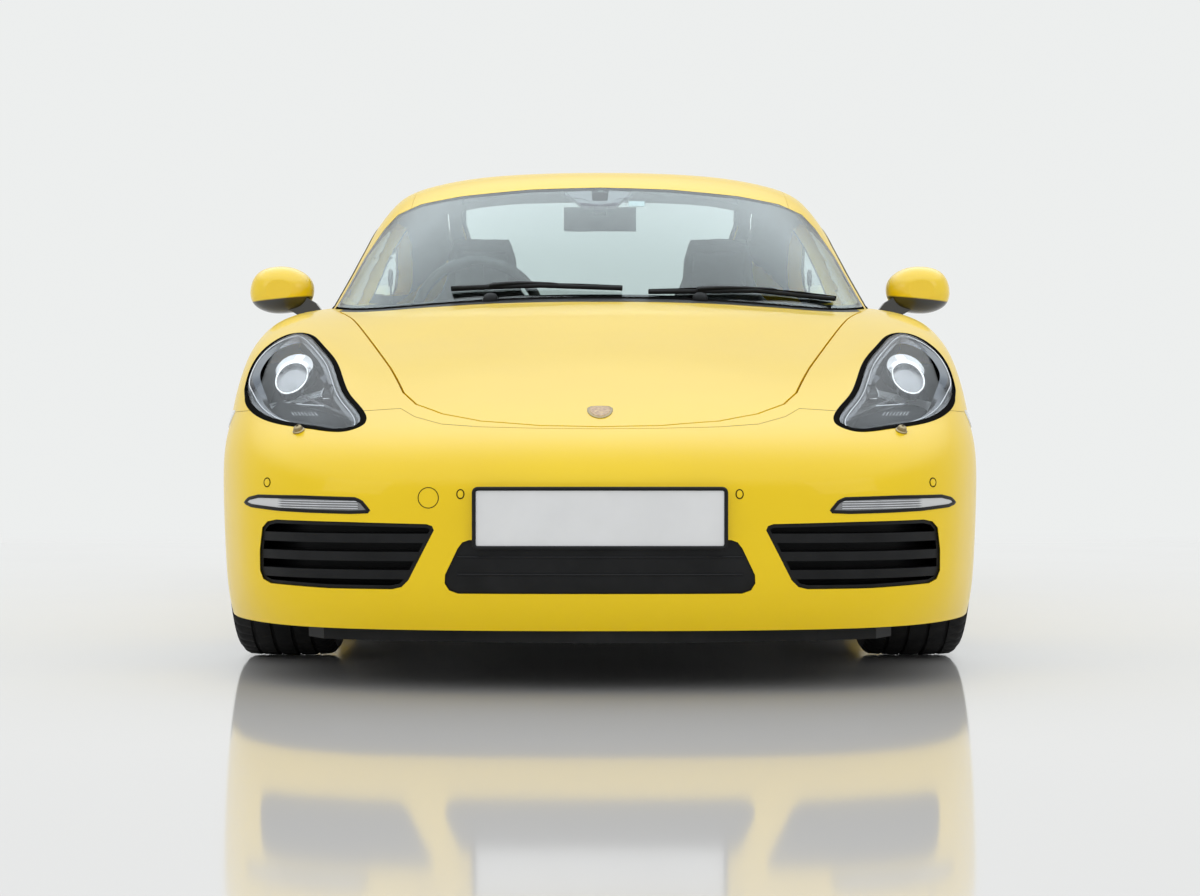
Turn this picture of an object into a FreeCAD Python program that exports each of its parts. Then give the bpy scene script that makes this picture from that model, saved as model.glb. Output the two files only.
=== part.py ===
import FreeCAD, Part
import math
import os
from FreeCAD import Rotation, Vector

# Main sizes, in millimetres
LENGTH = 4379.0
HALF_WIDTH = 900.0
HEIGHT = 1305.0
FRONT_OVERHANG = 925.0
WHEELBASE = 2475.0
FRONT_TRACK = 1515.0
REAR_TRACK = 1532.0

# Body walls and gaps
PANEL_WALL = 15.0
DOOR_WALL = 95.0
PILLAR_WALL = 38.0
GLASS_WALL = 5.0
LENS_WALL = 4.0
MOVING_GAP = 5.0
FIXED_GAP = 0.8
TRIM_GAP = 0.4
OVERRUN = 60.0

# Wheels and what carries them
FRONT_TYRE_RADIUS = 335.0
REAR_TYRE_RADIUS = 347.0
FRONT_TYRE_WIDTH = 235.0
REAR_TYRE_WIDTH = 265.0
RIM_RADIUS = 246.0
RIM_BARREL_WALL = 14.0
SPOKE_PAIRS = 5
SPINDLE_END = 26.0
RIM_WIDTH_SHARE = 0.93
SPINDLE_RUN = 2.0
HUB_RADIUS = 72.0
DISC_RADIUS = 165.0
DISC_WALL = 30.0
SPINDLE_RADIUS = 28.0
SPINDLE_GAP = 0.08
KNUCKLE_RADIUS = 62.0
KNUCKLE_WALL = 48.0
ARM_WALL = 26.0
ARCH_CLEARANCE = 48.0
ARCH_LINER_WALL = 4.0
ARCH_INSIDE = 440.0
SHAFT_RADIUS = 16.0

# The drawing's extents across, along and up: each table of shares is in its thousandths
DRAWN_SHARES = (903.0, 4379.0, 1305.0)
DRAWN_AXLE_SHARES = (925.0, 3400.0)
SILL = 135

# Body below the windows: one row from the centre to the sill for each step from nose to tail,
# each point given by its place across, along and up
HULL_SHARES = (
    ((0, 52, SILL), (250, 58, SILL), (470, 90, SILL), (600, 140, SILL), (690, 205, SILL), (754, 285, SILL),
     (800, 365, SILL), (831, 445, SILL), (850, 530, SILL), (862, 610, SILL), (870, 690, SILL)),
    ((0, 14, 190), (250, 20, 190), (470, 50, 190), (600, 100, 190), (695, 168, 190), (768, 248, 190),
     (808, 332, 190), (839, 415, 190), (858, 505, 188), (871, 600, 170), (880, 720, SILL)),
    ((0, 0, 280), (250, 5, 280), (470, 34, 280), (605, 84, 280), (700, 150, 280), (775, 234, 280),
     (815, 322, 280), (846, 412, 280), (864, 502, 275), (876, 605, 240), (886, 780, SILL)),
    ((0, 0, 390), (250, 5, 390), (470, 32, 390), (608, 82, 390), (704, 150, 390), (780, 234, 390),
     (821, 324, 390), (852, 414, 390), (869, 508, 380), (880, 630, 320), (888, 840, SILL)),
    ((0, 8, 462), (250, 14, 462), (470, 42, 462), (610, 94, 462), (707, 162, 462), (784, 247, 462),
     (826, 337, 462), (856, 427, 460), (872, 522, 445), (883, 670, 370), (890, 900, SILL)),
    ((0, 48, 512), (250, 55, 512), (470, 86, 512), (612, 136, 514), (708, 202, 516), (785, 282, 516),
     (829, 367, 514), (859, 452, 508), (874, 547, 490), (886, 720, 415), (890, 975, SILL)),
    ((0, 130, 555), (250, 138, 555), (465, 168, 556), (608, 215, 558), (702, 272, 564), (780, 345, 566),
     (829, 425, 561), (861, 507, 551), (877, 595, 526), (888, 780, 440), (890, 1050, SILL)),
    ((0, 240, 594), (250, 246, 595), (460, 272, 597), (600, 315, 600), (694, 365, 610), (772, 432, 617),
     (828, 507, 609), (862, 585, 590), (880, 675, 558), (888, 850, 460), (890, 1120, SILL)),
    ((0, 375, 640), (250, 380, 641), (455, 402, 637), (590, 436, 638), (680, 478, 656), (768, 537, 677),
     (832, 600, 670), (866, 672, 647), (881, 760, 604), (888, 930, 480), (890, 1190, SILL)),
    ((0, 545, 695), (250, 548, 694), (455, 562, 684), (582, 586, 680), (666, 616, 704), (756, 662, 734),
     (831, 714, 726), (868, 780, 699), (884, 860, 638), (888, 1015, 485), (890, 1255, SILL)),
    ((0, 745, 748), (250, 747, 746), (458, 754, 730), (582, 768, 722), (660, 786, 750), (750, 818, 784),
     (832, 856, 774), (871, 905, 743), (886, 968, 668), (888, 1100, 490), (890, 1320, SILL)),
    ((0, 960, 798), (250, 960, 795), (465, 963, 777), (592, 969, 764), (664, 980, 786), (750, 998, 818),
     (836, 1022, 807), (875, 1056, 770), (888, 1104, 688), (888, 1200, 492), (888, 1390, SILL)),
    ((0, 1180, 860), (250, 1180, 857), (475, 1180, 836), (612, 1182, 815), (684, 1187, 828), (764, 1196, 848),
     (844, 1210, 834), (880, 1230, 792), (889, 1260, 700), (887, 1320, 495), (884, 1470, SILL)),
    ((0, 1400, 908), (250, 1400, 904), (490, 1400, 882), (645, 1400, 858), (715, 1402, 862), (782, 1406, 868),
     (850, 1412, 850), (882, 1420, 804), (889, 1434, 706), (886, 1470, 495), (880, 1570, SILL)),
    ((0, 1640, 916), (250, 1640, 913), (505, 1640, 897), (675, 1640, 884), (742, 1640, 885), (800, 1640, 881),
     (850, 1640, 858), (878, 1641, 806), (886, 1644, 702), (883, 1655, 495), (876, 1700, SILL)),
    ((0, 1920, 915), (250, 1920, 912), (515, 1920, 905), (700, 1920, 902), (762, 1920, 900), (808, 1920, 889),
     (846, 1920, 857), (869, 1920, 798), (880, 1920, 696), (879, 1920, 495), (872, 1925, SILL)),
    ((0, 2220, 925), (250, 2220, 922), (525, 2220, 915), (712, 2220, 915), (770, 2220, 912), (811, 2220, 897),
     (841, 2220, 857), (862, 2220, 788), (876, 2220, 682), (879, 2220, 495), (872, 2220, SILL)),
    ((0, 2520, 940), (250, 2520, 937), (530, 2520, 930), (712, 2520, 932), (773, 2520, 930), (816, 2520, 913),
     (848, 2520, 869), (869, 2520, 795), (882, 2520, 685), (884, 2520, 497), (874, 2520, SILL)),
    ((0, 2800, 950), (250, 2800, 948), (530, 2800, 945), (700, 2800, 953), (765, 2800, 953), (816, 2800, 933),
     (854, 2800, 884), (879, 2800, 805), (893, 2800, 690), (893, 2800, 500), (876, 2800, SILL)),
    ((0, 3070, 955), (250, 3070, 955), (525, 3070, 955), (682, 3070, 968), (750, 3070, 970), (809, 3070, 947),
     (856, 3070, 893), (887, 3070, 810), (901, 3070, 695), (900, 3070, 505), (878, 3070, SILL)),
    ((0, 3330, 950), (250, 3330, 950), (510, 3330, 950), (660, 3330, 963), (733, 3330, 966), (798, 3330, 944),
     (850, 3330, 890), (886, 3330, 808), (903, 3330, 695), (903, 3330, 510), (880, 3330, SILL)),
    ((0, 3580, 925), (250, 3580, 925), (500, 3580, 922), (642, 3580, 936), (716, 3580, 941), (784, 3578, 922),
     (840, 3574, 870), (879, 3568, 792), (900, 3562, 690), (902, 3560, 520), (882, 3560, SILL)),
    ((0, 3810, 890), (250, 3810, 889), (492, 3808, 884), (632, 3804, 894), (704, 3798, 898), (772, 3788, 880),
     (828, 3773, 832), (868, 3753, 765), (890, 3730, 680), (894, 3690, 530), (880, 3640, SILL)),
    ((0, 4000, 866), (250, 4000, 864), (490, 3996, 857), (628, 3988, 854), (700, 3976, 848), (764, 3956, 826),
     (816, 3926, 785), (854, 3888, 730), (876, 3845, 665), (882, 3790, 535), (872, 3710, SILL)),
    ((0, 4180, 858), (250, 4175, 854), (480, 4158, 840), (615, 4134, 822), (690, 4105, 802), (752, 4066, 774),
     (802, 4018, 738), (838, 3962, 695), (860, 3905, 640), (868, 3845, 530), (862, 3780, SILL)),
    ((0, 4290, 838), (250, 4282, 832), (475, 4255, 812), (608, 4218, 787), (684, 4180, 762), (746, 4132, 735),
     (796, 4078, 702), (832, 4018, 664), (852, 3958, 616), (862, 3890, 520), (856, 3835, SILL)),
    ((0, 4322, 768), (250, 4315, 762), (472, 4286, 745), (606, 4248, 726), (682, 4208, 706), (744, 4158, 684),
     (793, 4103, 658), (829, 4045, 628), (850, 3990, 590), (860, 3925, 505), (852, 3870, SILL)),
    ((0, 4345, 688), (250, 4338, 684), (470, 4310, 672), (604, 4272, 657), (680, 4232, 641), (741, 4182, 622),
     (790, 4128, 600), (826, 4070, 574), (848, 4015, 545), (858, 3955, 475), (849, 3900, SILL)),
    ((0, 4372, 595), (250, 4366, 592), (468, 4339, 582), (602, 4301, 571), (678, 4261, 560), (739, 4211, 547),
     (788, 4156, 531), (824, 4098, 511), (846, 4042, 487), (856, 3978, 435), (846, 3925, SILL)),
    ((0, 4379, 490), (250, 4373, 488), (466, 4347, 481), (600, 4309, 472), (675, 4269, 463), (736, 4219, 453),
     (785, 4163, 441), (821, 4107, 427), (843, 4054, 410), (852, 3990, 370), (843, 3945, SILL)),
    ((0, 4372, 375), (250, 4365, 373), (463, 4340, 367), (595, 4302, 362), (670, 4262, 356), (730, 4213, 350),
     (778, 4158, 342), (813, 4106, 334), (835, 4052, 322), (846, 3998, 285), (840, 3960, SILL)),
    ((0, 4340, 255), (250, 4333, 254), (458, 4308, 251), (588, 4272, 248), (660, 4235, 245), (720, 4190, 242),
     (766, 4140, 239), (802, 4090, 235), (824, 4040, 228), (836, 4000, 200), (836, 3972, SILL)),
    ((0, 4295, SILL), (250, 4288, SILL), (450, 4264, SILL), (578, 4228, SILL), (648, 4192, SILL),
     (706, 4148, SILL), (752, 4102, SILL), (788, 4055, SILL), (812, 4018, SILL), (826, 3998, SILL),
     (832, 3984, SILL)),
)

# Glasshouse and roof: rows as above, from the windscreen's foot to the tail
BELT = 800
CANOPY_SHARES = (
    ((0, 1290, BELT), (210, 1300, BELT), (410, 1335, BELT), (560, 1392, BELT), (655, 1440, BELT),
     (708, 1480, BELT), (740, 1512, BELT), (762, 1538, BELT), (780, 1560, BELT)),
    ((0, 1392, 882), (210, 1401, 882), (410, 1432, 878), (560, 1480, 871), (656, 1524, 862), (712, 1556, 852),
     (748, 1580, 838), (770, 1596, 822), (786, 1612, BELT)),
    ((0, 1500, 975), (205, 1509, 973), (400, 1538, 965), (545, 1583, 952), (640, 1626, 937), (700, 1656, 914),
     (744, 1675, 884), (772, 1685, 848), (790, 1694, BELT)),
    ((0, 1615, 1064), (200, 1624, 1061), (385, 1654, 1050), (528, 1700, 1036), (622, 1746, 1017),
     (688, 1774, 984), (738, 1786, 930), (770, 1790, 866), (792, 1794, BELT)),
    ((0, 1750, 1150), (195, 1758, 1146), (372, 1787, 1133), (515, 1830, 1117), (605, 1870, 1096),
     (676, 1893, 1050), (730, 1900, 970), (768, 1902, 880), (795, 1902, BELT)),
    ((0, 1870, 1217), (190, 1877, 1212), (362, 1902, 1198), (502, 1942, 1180), (592, 1980, 1157),
     (664, 1998, 1103), (722, 2000, 1004), (766, 2000, 893), (797, 2000, BELT)),
    ((0, 1980, 1275), (188, 1986, 1270), (358, 2006, 1255), (500, 2040, 1233), (592, 2074, 1205),
     (662, 2092, 1140), (718, 2098, 1026), (764, 2100, 904), (798, 2100, BELT)),
    ((0, 2100, 1307), (190, 2104, 1304), (364, 2120, 1293), (502, 2145, 1268), (596, 2170, 1236),
     (657, 2185, 1160), (713, 2195, 1056), (764, 2200, 922), (799, 2200, BELT)),
    ((0, 2250, 1317), (190, 2252, 1315), (368, 2262, 1306), (504, 2280, 1282), (598, 2298, 1254),
     (658, 2310, 1174), (714, 2318, 1068), (765, 2322, 928), (800, 2325, BELT)),
    ((0, 2430, 1314), (190, 2430, 1312), (367, 2434, 1303), (502, 2442, 1278), (595, 2450, 1249),
     (656, 2458, 1170), (712, 2464, 1064), (767, 2468, 928), (802, 2470, BELT)),
    ((0, 2620, 1288), (190, 2620, 1285), (361, 2620, 1275), (494, 2620, 1250), (584, 2620, 1218),
     (648, 2622, 1140), (710, 2625, 1044), (769, 2628, 922), (806, 2630, BELT)),
    ((0, 2820, 1238), (188, 2820, 1234), (354, 2818, 1222), (480, 2814, 1197), (565, 2810, 1165),
     (634, 2805, 1098), (705, 2802, 1006), (769, 2800, 908), (810, 2800, BELT)),
    ((0, 3030, 1172), (184, 3030, 1167), (343, 3026, 1153), (460, 3020, 1130), (538, 3012, 1099),
     (606, 3000, 1040), (692, 2990, 962), (765, 2985, 895), (812, 2980, BELT)),
    ((0, 3240, 1100), (180, 3240, 1095), (332, 3236, 1081), (440, 3228, 1060), (515, 3218, 1034),
     (595, 3202, 990), (680, 3188, 936), (756, 3178, 885), (808, 3170, BELT)),
    ((0, 3450, 1024), (178, 3450, 1019), (326, 3446, 1007), (432, 3436, 990), (505, 3424, 968),
     (582, 3406, 938), (664, 3388, 905), (742, 3372, 872), (798, 3360, BELT)),
    ((0, 3640, 955), (176, 3640, 951), (322, 3636, 941), (426, 3626, 927), (496, 3612, 910), (568, 3592, 892),
     (645, 3570, 875), (722, 3550, 855), (782, 3535, BELT)),
    ((0, 3800, 900), (175, 3800, 897), (320, 3795, 890), (420, 3785, 880), (488, 3770, 868), (555, 3750, 858),
     (628, 3728, 848), (700, 3705, 838), (762, 3690, BELT)),
    ((0, 3960, BELT), (175, 3958, BELT), (318, 3950, BELT), (415, 3938, BELT), (480, 3922, BELT),
     (544, 3902, BELT), (610, 3878, BELT), (675, 3850, BELT), (735, 3820, BELT)),
)

# Outlines where the panels meet, seen from above as places across and along
BONNET_SIDE_SHARES = ((0, 170), (130, 178), (260, 210), (346, 260), (408, 330), (443, 420), (492, 650),
                      (561, 950), (647, 1300), (706, 1500))
BONNET_BACK_SHARES = ((706, 1500), (560, 1425), (410, 1372), (210, 1336), (0, 1326))
HATCH_SIDE_SHARES = ((0, 2575), (478, 2575), (486, 2800), (470, 3100), (478, 3400), (520, 3700), (500, 3860),
                     (380, 3925), (0, 3950))
REAR_WINDOW_SHARES = ((0, 2630), (436, 2630), (446, 2800), (424, 3100), (408, 3400), (380, 3640), (240, 3690),
                      (0, 3700))

# Outlines seen from the side as places along and up
DOOR_SHARES = ((1512, 1300), (1512, 262), (1519, 226), (1542, 203), (1580, 196), (2400, 196), (2450, 202),
               (2486, 222), (2510, 262), (2542, 380), (2566, 540), (2578, 700), (2574, 820), (2560, 900),
               (2540, 1300))
DOOR_GLASS_SHARES = ((1690, 880), (1850, 990), (2015, 1080), (2120, 1128), (2220, 1152), (2330, 1164),
                     (2478, 1162), (2500, 880))
QUARTER_WINDOW_SHARES = ((2520, 968), (2504, 1160), (2640, 1126), (2790, 1066), (2890, 1016), (2940, 984),
                         (2900, 975))

# Outlines seen from the front as places across and up
WINDSCREEN_SHARES = ((0, 840), (752, 840), (714, 930), (672, 1040), (626, 1128), (590, 1172), (520, 1202),
                     (400, 1222), (200, 1238), (0, 1243))
BUMPER_TOP_SHARES = ((0, 562), (130, 563), (260, 566), (346, 572), (408, 588), (443, 606), (520, 601),
                     (640, 600), (760, 604), (850, 598), (920, 594))
HEADLAMP_SHARES = ((692, 775), (762, 790), (800, 762), (826, 715), (830, 672), (822, 628), (792, 600),
                   (722, 574), (620, 560), (534, 562), (514, 577), (528, 602), (572, 640), (622, 710))
SIDE_INTAKE_SHARES = ((350, 350), (354, 359), (366, 363), (540, 366), (700, 367), (722, 362), (735, 348),
                      (742, 300), (743, 254), (735, 235), (716, 227), (580, 223), (440, 224), (420, 229),
                      (405, 244), (376, 300))
CENTRE_INTAKE_SHARES = ((0, 330), (276, 330), (290, 325), (300, 312), (327, 256), (328, 238), (319, 223),
                        (300, 216), (0, 216))
LIGHT_STRIP_SHARES = ((782, 400), (770, 410), (745, 416), (640, 417), (520, 415), (506, 409), (488, 388),
                      (531, 386), (620, 387), (697, 389), (764, 394))
TAIL_LAMP_SHARES = ((424, 722), (470, 748), (560, 766), (660, 768), (760, 750), (840, 712), (884, 662),
                    (882, 624), (830, 610), (730, 630), (610, 664), (500, 690), (436, 704))
TAIL_LAMP_START_SHARE = 3860
SCOOP_SHARES = ((2612, 716), (2668, 700), (2730, 660), (2758, 606), (2756, 520), (2730, 452), (2690, 430),
                (2650, 440), (2634, 490), (2622, 600))
SCOOP_DEPTH = 55.0
SCOOP_BARS = 2
SCOOP_BAR_WIDTH_SHARE = 10


def across(share):
    return share / DRAWN_SHARES[0] * HALF_WIDTH


def along(share):
    front, back = DRAWN_AXLE_SHARES
    end = DRAWN_SHARES[1]
    if share < front:
        place = share / front * FRONT_OVERHANG
    elif share < back:
        place = FRONT_OVERHANG + (share - front) / (back - front) * WHEELBASE
    else:
        axles = FRONT_OVERHANG + WHEELBASE
        place = axles + (share - back) / (end - back) * (LENGTH - axles)
    return place - LENGTH / 2


def above(share):
    return share / DRAWN_SHARES[2] * HEIGHT


def point(x, s, z):
    return Vector(across(x), along(s), above(z))


FRONT_AXLE = along(DRAWN_AXLE_SHARES[0])
REAR_AXLE = along(DRAWN_AXLE_SHARES[1])


# Solids and cuts

MITRE_LIMIT_SHARE = 0.3


def ring_of(points):
    return Part.Face(Part.makePolygon(points + points[:1]))


def grown(points, grow, normal):
    """A closed outline moved outwards by a gap, square to its edges."""
    area = sum((a.cross(b).dot(normal) for a, b in zip(points, points[1:] + points[:1])), 0.0)
    side = 1 if area > 0 else -1
    moved = []
    for i, place in enumerate(points):
        before = (place - points[i - 1]).normalize().cross(normal) * side
        after = (points[(i + 1) % len(points)] - place).normalize().cross(normal) * side
        middle = (before + after).normalize()
        moved.append(place + middle * (grow / max(middle.dot(before), MITRE_LIMIT_SHARE)))
    return moved


def smooth_face(points):
    """A face inside a smooth closed curve, its edge in three stretches."""
    curve = Part.BSplineCurve()
    curve.interpolate(points, PeriodicFlag=True)
    start, end = curve.FirstParameter, curve.LastParameter
    step = (end - start) / 3
    edges = [curve.toShape(start + i * step, start + (i + 1) * step) for i in range(3)]
    return Part.Face(Part.Wire(edges))


def with_mirror(points):
    """A right half outline and its mirror image, joined at the centre."""
    return points + [Vector(-p.x, p.y, p.z) for p in reversed(points) if p.x > 0]


def from_above(shares, low, high, mirrored=True, grow=0.0):
    """A straight-sided block whose outline is drawn from above, whole when it starts and ends at the centre."""
    points = [Vector(across(x), along(s), low) for x, s in shares]
    if mirrored:
        points = with_mirror(points)
    return ring_of(grown(points, grow, Vector(0, 0, 1))).extrude(Vector(0, 0, high - low))


def from_side(shares, near, far, grow=0.0):
    """A block whose outline is drawn from the side, reaching across from near to far."""
    points = [Vector(near, along(s), above(z)) for s, z in shares]
    return ring_of(grown(points, grow, Vector(1, 0, 0))).extrude(Vector(far - near, 0, 0))


def from_front(shares, near, far, mirrored=False, grow=0.0, smooth=False):
    """A block whose outline is drawn from the front, reaching along from near to far."""
    points = [Vector(across(x), near, above(z)) for x, z in shares]
    if mirrored:
        points = with_mirror(points)
    points = grown(points, grow, Vector(0, 1, 0))
    face = smooth_face(points) if smooth else ring_of(points)
    return face.extrude(Vector(0, far - near, 0))


def brick(low, high):
    size = high - low
    return Part.makeBox(size.x, size.y, size.z, low)


def tube_along_x(radius, start, end, y, z):
    return Part.makeCylinder(radius, end - start, Vector(start, y, z), Vector(1, 0, 0))


def flip(shape):
    return shape.mirror(Vector(), Vector(1, 0, 0))


def both(shape):
    return Part.makeCompound([shape, flip(shape)])


def solids_of(shape, least=2000.0):
    """Only the solids of a shape, without slivers."""
    kept = [s for s in shape.Solids if s.Volume > least]
    return kept[0] if len(kept) == 1 else Part.makeCompound(kept)


# Smooth surfaces through a net of points

def net_knots(count):
    spans = count - 3
    return [float(i) for i in range(spans + 1)], [4] + [1] * (spans - 1) + [4]


def net_places(count):
    """The place on the surface that each row of its net pulls on most."""
    knots, repeats = net_knots(count)
    flat = [k for k, times in zip(knots, repeats) for _ in range(times)]
    return [sum(flat[i + 1:i + 4]) / 3 for i in range(count)]


def net_surface(net):
    surface = Part.BSplineSurface()
    u_knots, u_repeats = net_knots(len(net))
    v_knots, v_repeats = net_knots(len(net[0]))
    surface.buildFromPolesMultsKnots(net, u_repeats, v_repeats, u_knots, v_knots, False, False, 3, 3)
    return surface


def net_from(table):
    net = []
    for row in table:
        right = [point(*place) for place in row]
        net.append([Vector(-p.x, p.y, p.z) for p in right[:0:-1]] + right)
    return net


def inner_net(net, depth, drop):
    """The net moved inwards by a wall's depth, its open edge lowered so that a cut runs through."""
    surface = net_surface(net)
    u_places, v_places = net_places(len(net)), net_places(len(net[0]))
    edge = net[0][0].z - drop
    moved = []
    for i, row in enumerate(net):
        out = []
        for j, place in enumerate(row):
            u = min(max(u_places[i], 0.02), u_places[-1] - 0.02)
            v = min(max(v_places[j], 0.02), v_places[-1] - 0.02)
            new = place + surface.normal(u, v) * depth
            if i in (0, len(net) - 1) or j in (0, len(row) - 1):
                new.z = edge
            out.append(new)
        moved.append(out)
    return moved


def net_solid(net):
    face = net_surface(net).toShape()
    base = Part.Face(Part.Wire(Part.__sortEdges__(face.OuterWire.Edges)))
    shell = Part.Shell([face, base])
    shell.sewShape()
    return Part.Solid(shell)


# Body

DOOR_REACH_SHARES = ((960, 1480), (786, 1480), (786, 1660), (690, 1660), (690, 2500), (788, 2500), (788, 2640),
                     (960, 2640))
ROOF_SHARES = ((0, 1850), (560, 1850), (548, 2050), (530, 2570), (0, 2570))
COWL_SHARES = ((0, 1331), (210, 1341), (410, 1377), (560, 1430), (706, 1506), (706, 1700), (0, 1700))
SPOILER_SHARES = ((0, 3975), (400, 3955), (500, 3965), (520, 4010), (500, 4215), (400, 4245), (0, 4275))
REAR_BUMPER_SHARES = ((0, 1000), (398, 1000), (424, 704), (560, 690), (690, 662), (800, 622), (860, 590),
                      (960, 590), (960, 0), (0, 0))
SPOILER_LOW_SHARE = 700
HATCH_LOW_SHARE = 740
SHUT_SHARE = 1506
POST_SHARE = 1440
QUARTER_SHARE = 2760

BOTTOM_DROP = 8.0

SHAPES = {}


def inside(which, depth):
    """The hull or canopy moved inwards by a wall's depth, made once for each depth."""
    key = (which, depth)
    if key not in SHAPES:
        net = NETS[which]
        SHAPES[key] = net_solid(inner_net(net, depth, BOTTOM_DROP) if depth else net)
    return SHAPES[key]


NETS = {"hull": net_from(HULL_SHARES), "canopy": net_from(CANOPY_SHARES)}


def skin(which, depth, start=0.0):
    """A wall of the hull or canopy, between two depths under its outer face."""
    return inside(which, start).cut(inside(which, depth))


FAR = HALF_WIDTH + OVERRUN
LOW = -OVERRUN
HIGH = HEIGHT + OVERRUN
NOSE = -LENGTH / 2 - OVERRUN
TAIL = LENGTH / 2 + OVERRUN
GROUND = 0.0


def slab_along(start_share, end_share, near=0.0, far=FAR, low=LOW, high=HIGH):
    return brick(Vector(near, along(start_share), low), Vector(far, along(end_share), high))


def arch_void(y, radius, inner, extra=0.0):
    return tube_along_x(radius + ARCH_CLEARANCE + extra, inner, FAR, y, radius)


FRONT_ARCH = arch_void(FRONT_AXLE, FRONT_TYRE_RADIUS, ARCH_INSIDE)
REAR_ARCH = arch_void(REAR_AXLE, REAR_TYRE_RADIUS, ARCH_INSIDE)
ARCHES = FRONT_ARCH.fuse([REAR_ARCH])


def bumper_block(grow=0.0):
    shares = BUMPER_TOP_SHARES + ((920, -100), (0, -100))
    return from_front(shares, NOSE, FRONT_AXLE, mirrored=True, grow=grow)


def bonnet_outline():
    return BONNET_SIDE_SHARES + BONNET_BACK_SHARES[1:]


def lamp_opening(grow=0.0):
    return from_front(HEADLAMP_SHARES, NOSE, FRONT_AXLE, grow=grow, smooth=True)


def make_bonnet():
    block = from_above(bonnet_outline(), GROUND, HIGH)
    return solids_of(skin("hull", PANEL_WALL).common(block))


def make_front_bumper():
    whole = skin("hull", PANEL_WALL).common(bumper_block())
    cuts = [from_above(bonnet_outline(), GROUND, HIGH, grow=MOVING_GAP), plate_block(TRIM_GAP)]
    for hole in (FRONT_ARCH, lamp_opening(), from_front(SIDE_INTAKE_SHARES, NOSE, FRONT_AXLE),
                 from_front(LIGHT_STRIP_SHARES, NOSE, FRONT_AXLE)):
        cuts += [hole, flip(hole)]
    cuts.append(from_front(CENTRE_INTAKE_SHARES, NOSE, FRONT_AXLE, mirrored=True))
    return solids_of(whole.cut(cuts), 500000.0)


def make_front_wing():
    wing = skin("hull", PANEL_WALL).common(slab_along(0, SHUT_SHARE))
    cuts = [bumper_block(FIXED_GAP), from_above(bonnet_outline(), GROUND, HIGH, grow=MOVING_GAP)]
    cuts += [from_above(COWL_SHARES, GROUND, HIGH, grow=FIXED_GAP), FRONT_ARCH, lamp_opening()]
    cuts.append(inside("canopy", 0.0))
    return solids_of(wing.cut(cuts))


def make_cowl():
    cowl = skin("hull", PANEL_WALL).common(from_above(COWL_SHARES, GROUND, HIGH))
    return solids_of(cowl.cut([inside("canopy", 0.0)]))


def door_block(grow=0.0):
    side = from_side(DOOR_SHARES, across(600), FAR, grow=grow)
    reach = from_above(DOOR_REACH_SHARES, GROUND, HIGH, mirrored=False, grow=grow)
    return side.common(reach)


def make_door():
    return solids_of(skin("hull", DOOR_WALL).common(door_block()))


def door_glass_block(grow=0.0):
    return from_side(DOOR_GLASS_SHARES, across(400), FAR, grow=grow)


def quarter_window_block(grow=0.0):
    return from_side(QUARTER_WINDOW_SHARES, across(400), FAR, grow=grow)


def windscreen_block(grow=0.0):
    return from_front(WINDSCREEN_SHARES, along(1100), along(2140), mirrored=True, grow=grow)


def make_door_glass():
    pane = skin("canopy", GLASS_WALL).common(door_glass_block())
    return solids_of(pane.cut([inside("hull", 0.0)]))


def make_quarter_windows():
    pane = solids_of(skin("canopy", GLASS_WALL).common(quarter_window_block()).cut([inside("hull", 0.0)]))
    return both(pane)


def make_windscreen():
    pane = skin("canopy", GLASS_WALL).common(windscreen_block())
    return solids_of(pane.cut([inside("hull", 0.0)]))


def frame_ring():
    """The glasshouse frame above the belt, before the roof is split from the sides."""
    if "ring" not in SHAPES:
        ring = skin("canopy", PILLAR_WALL).cut([inside("hull", 0.0), windscreen_block(FIXED_GAP)])
        hatch = from_above(HATCH_SIDE_SHARES, GROUND, HIGH, grow=MOVING_GAP)
        panes = both(door_glass_block(MOVING_GAP).fuse([quarter_window_block(FIXED_GAP)]))
        SHAPES["ring"] = ring.cut([hatch, panes])
    return SHAPES["ring"]


def make_roof():
    return solids_of(frame_ring().common(from_above(ROOF_SHARES, GROUND, HIGH)))


def make_body_side():
    roof = from_above(ROOF_SHARES, GROUND, HIGH, grow=FIXED_GAP)
    pillars = frame_ring().common(slab_along(0, LENGTH)).cut([roof])
    thick = skin("hull", DOOR_WALL).common(slab_along(SHUT_SHARE, QUARTER_SHARE, near=across(600)))
    post = skin("hull", DOOR_WALL, PANEL_WALL).common(slab_along(POST_SHARE, SHUT_SHARE, near=across(600)))
    thin = skin("hull", PANEL_WALL).common(slab_along(QUARTER_SHARE, LENGTH))
    bumper = from_front(REAR_BUMPER_SHARES, REAR_AXLE, TAIL, grow=FIXED_GAP)
    hatch = from_above(HATCH_SIDE_SHARES, GROUND, HIGH, grow=MOVING_GAP)
    tail = tail_lamp_block(FIXED_GAP)
    spoiler = from_above(SPOILER_SHARES, above(SPOILER_LOW_SHARE), HIGH, grow=FIXED_GAP)
    thin = thin.cut([bumper, hatch, tail, spoiler, inside("canopy", PILLAR_WALL)])
    thick = thick.cut([door_block(MOVING_GAP), hatch, inside("canopy", PILLAR_WALL)])
    side = thick.fuse([post, thin, pillars]).cut([ARCHES, from_above(COWL_SHARES, GROUND, HIGH, grow=FIXED_GAP)])
    scoop = scoop_block().cut([inside("hull", SCOOP_DEPTH)])
    side = side.cut([scoop])
    return solids_of(side, 200000.0)


def tail_lamp_block(grow=0.0):
    return from_front(TAIL_LAMP_SHARES, along(TAIL_LAMP_START_SHARE), TAIL, grow=grow, smooth=True)


def scoop_block(grow=0.0):
    return from_side(SCOOP_SHARES, across(700), FAR, grow=grow)


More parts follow.
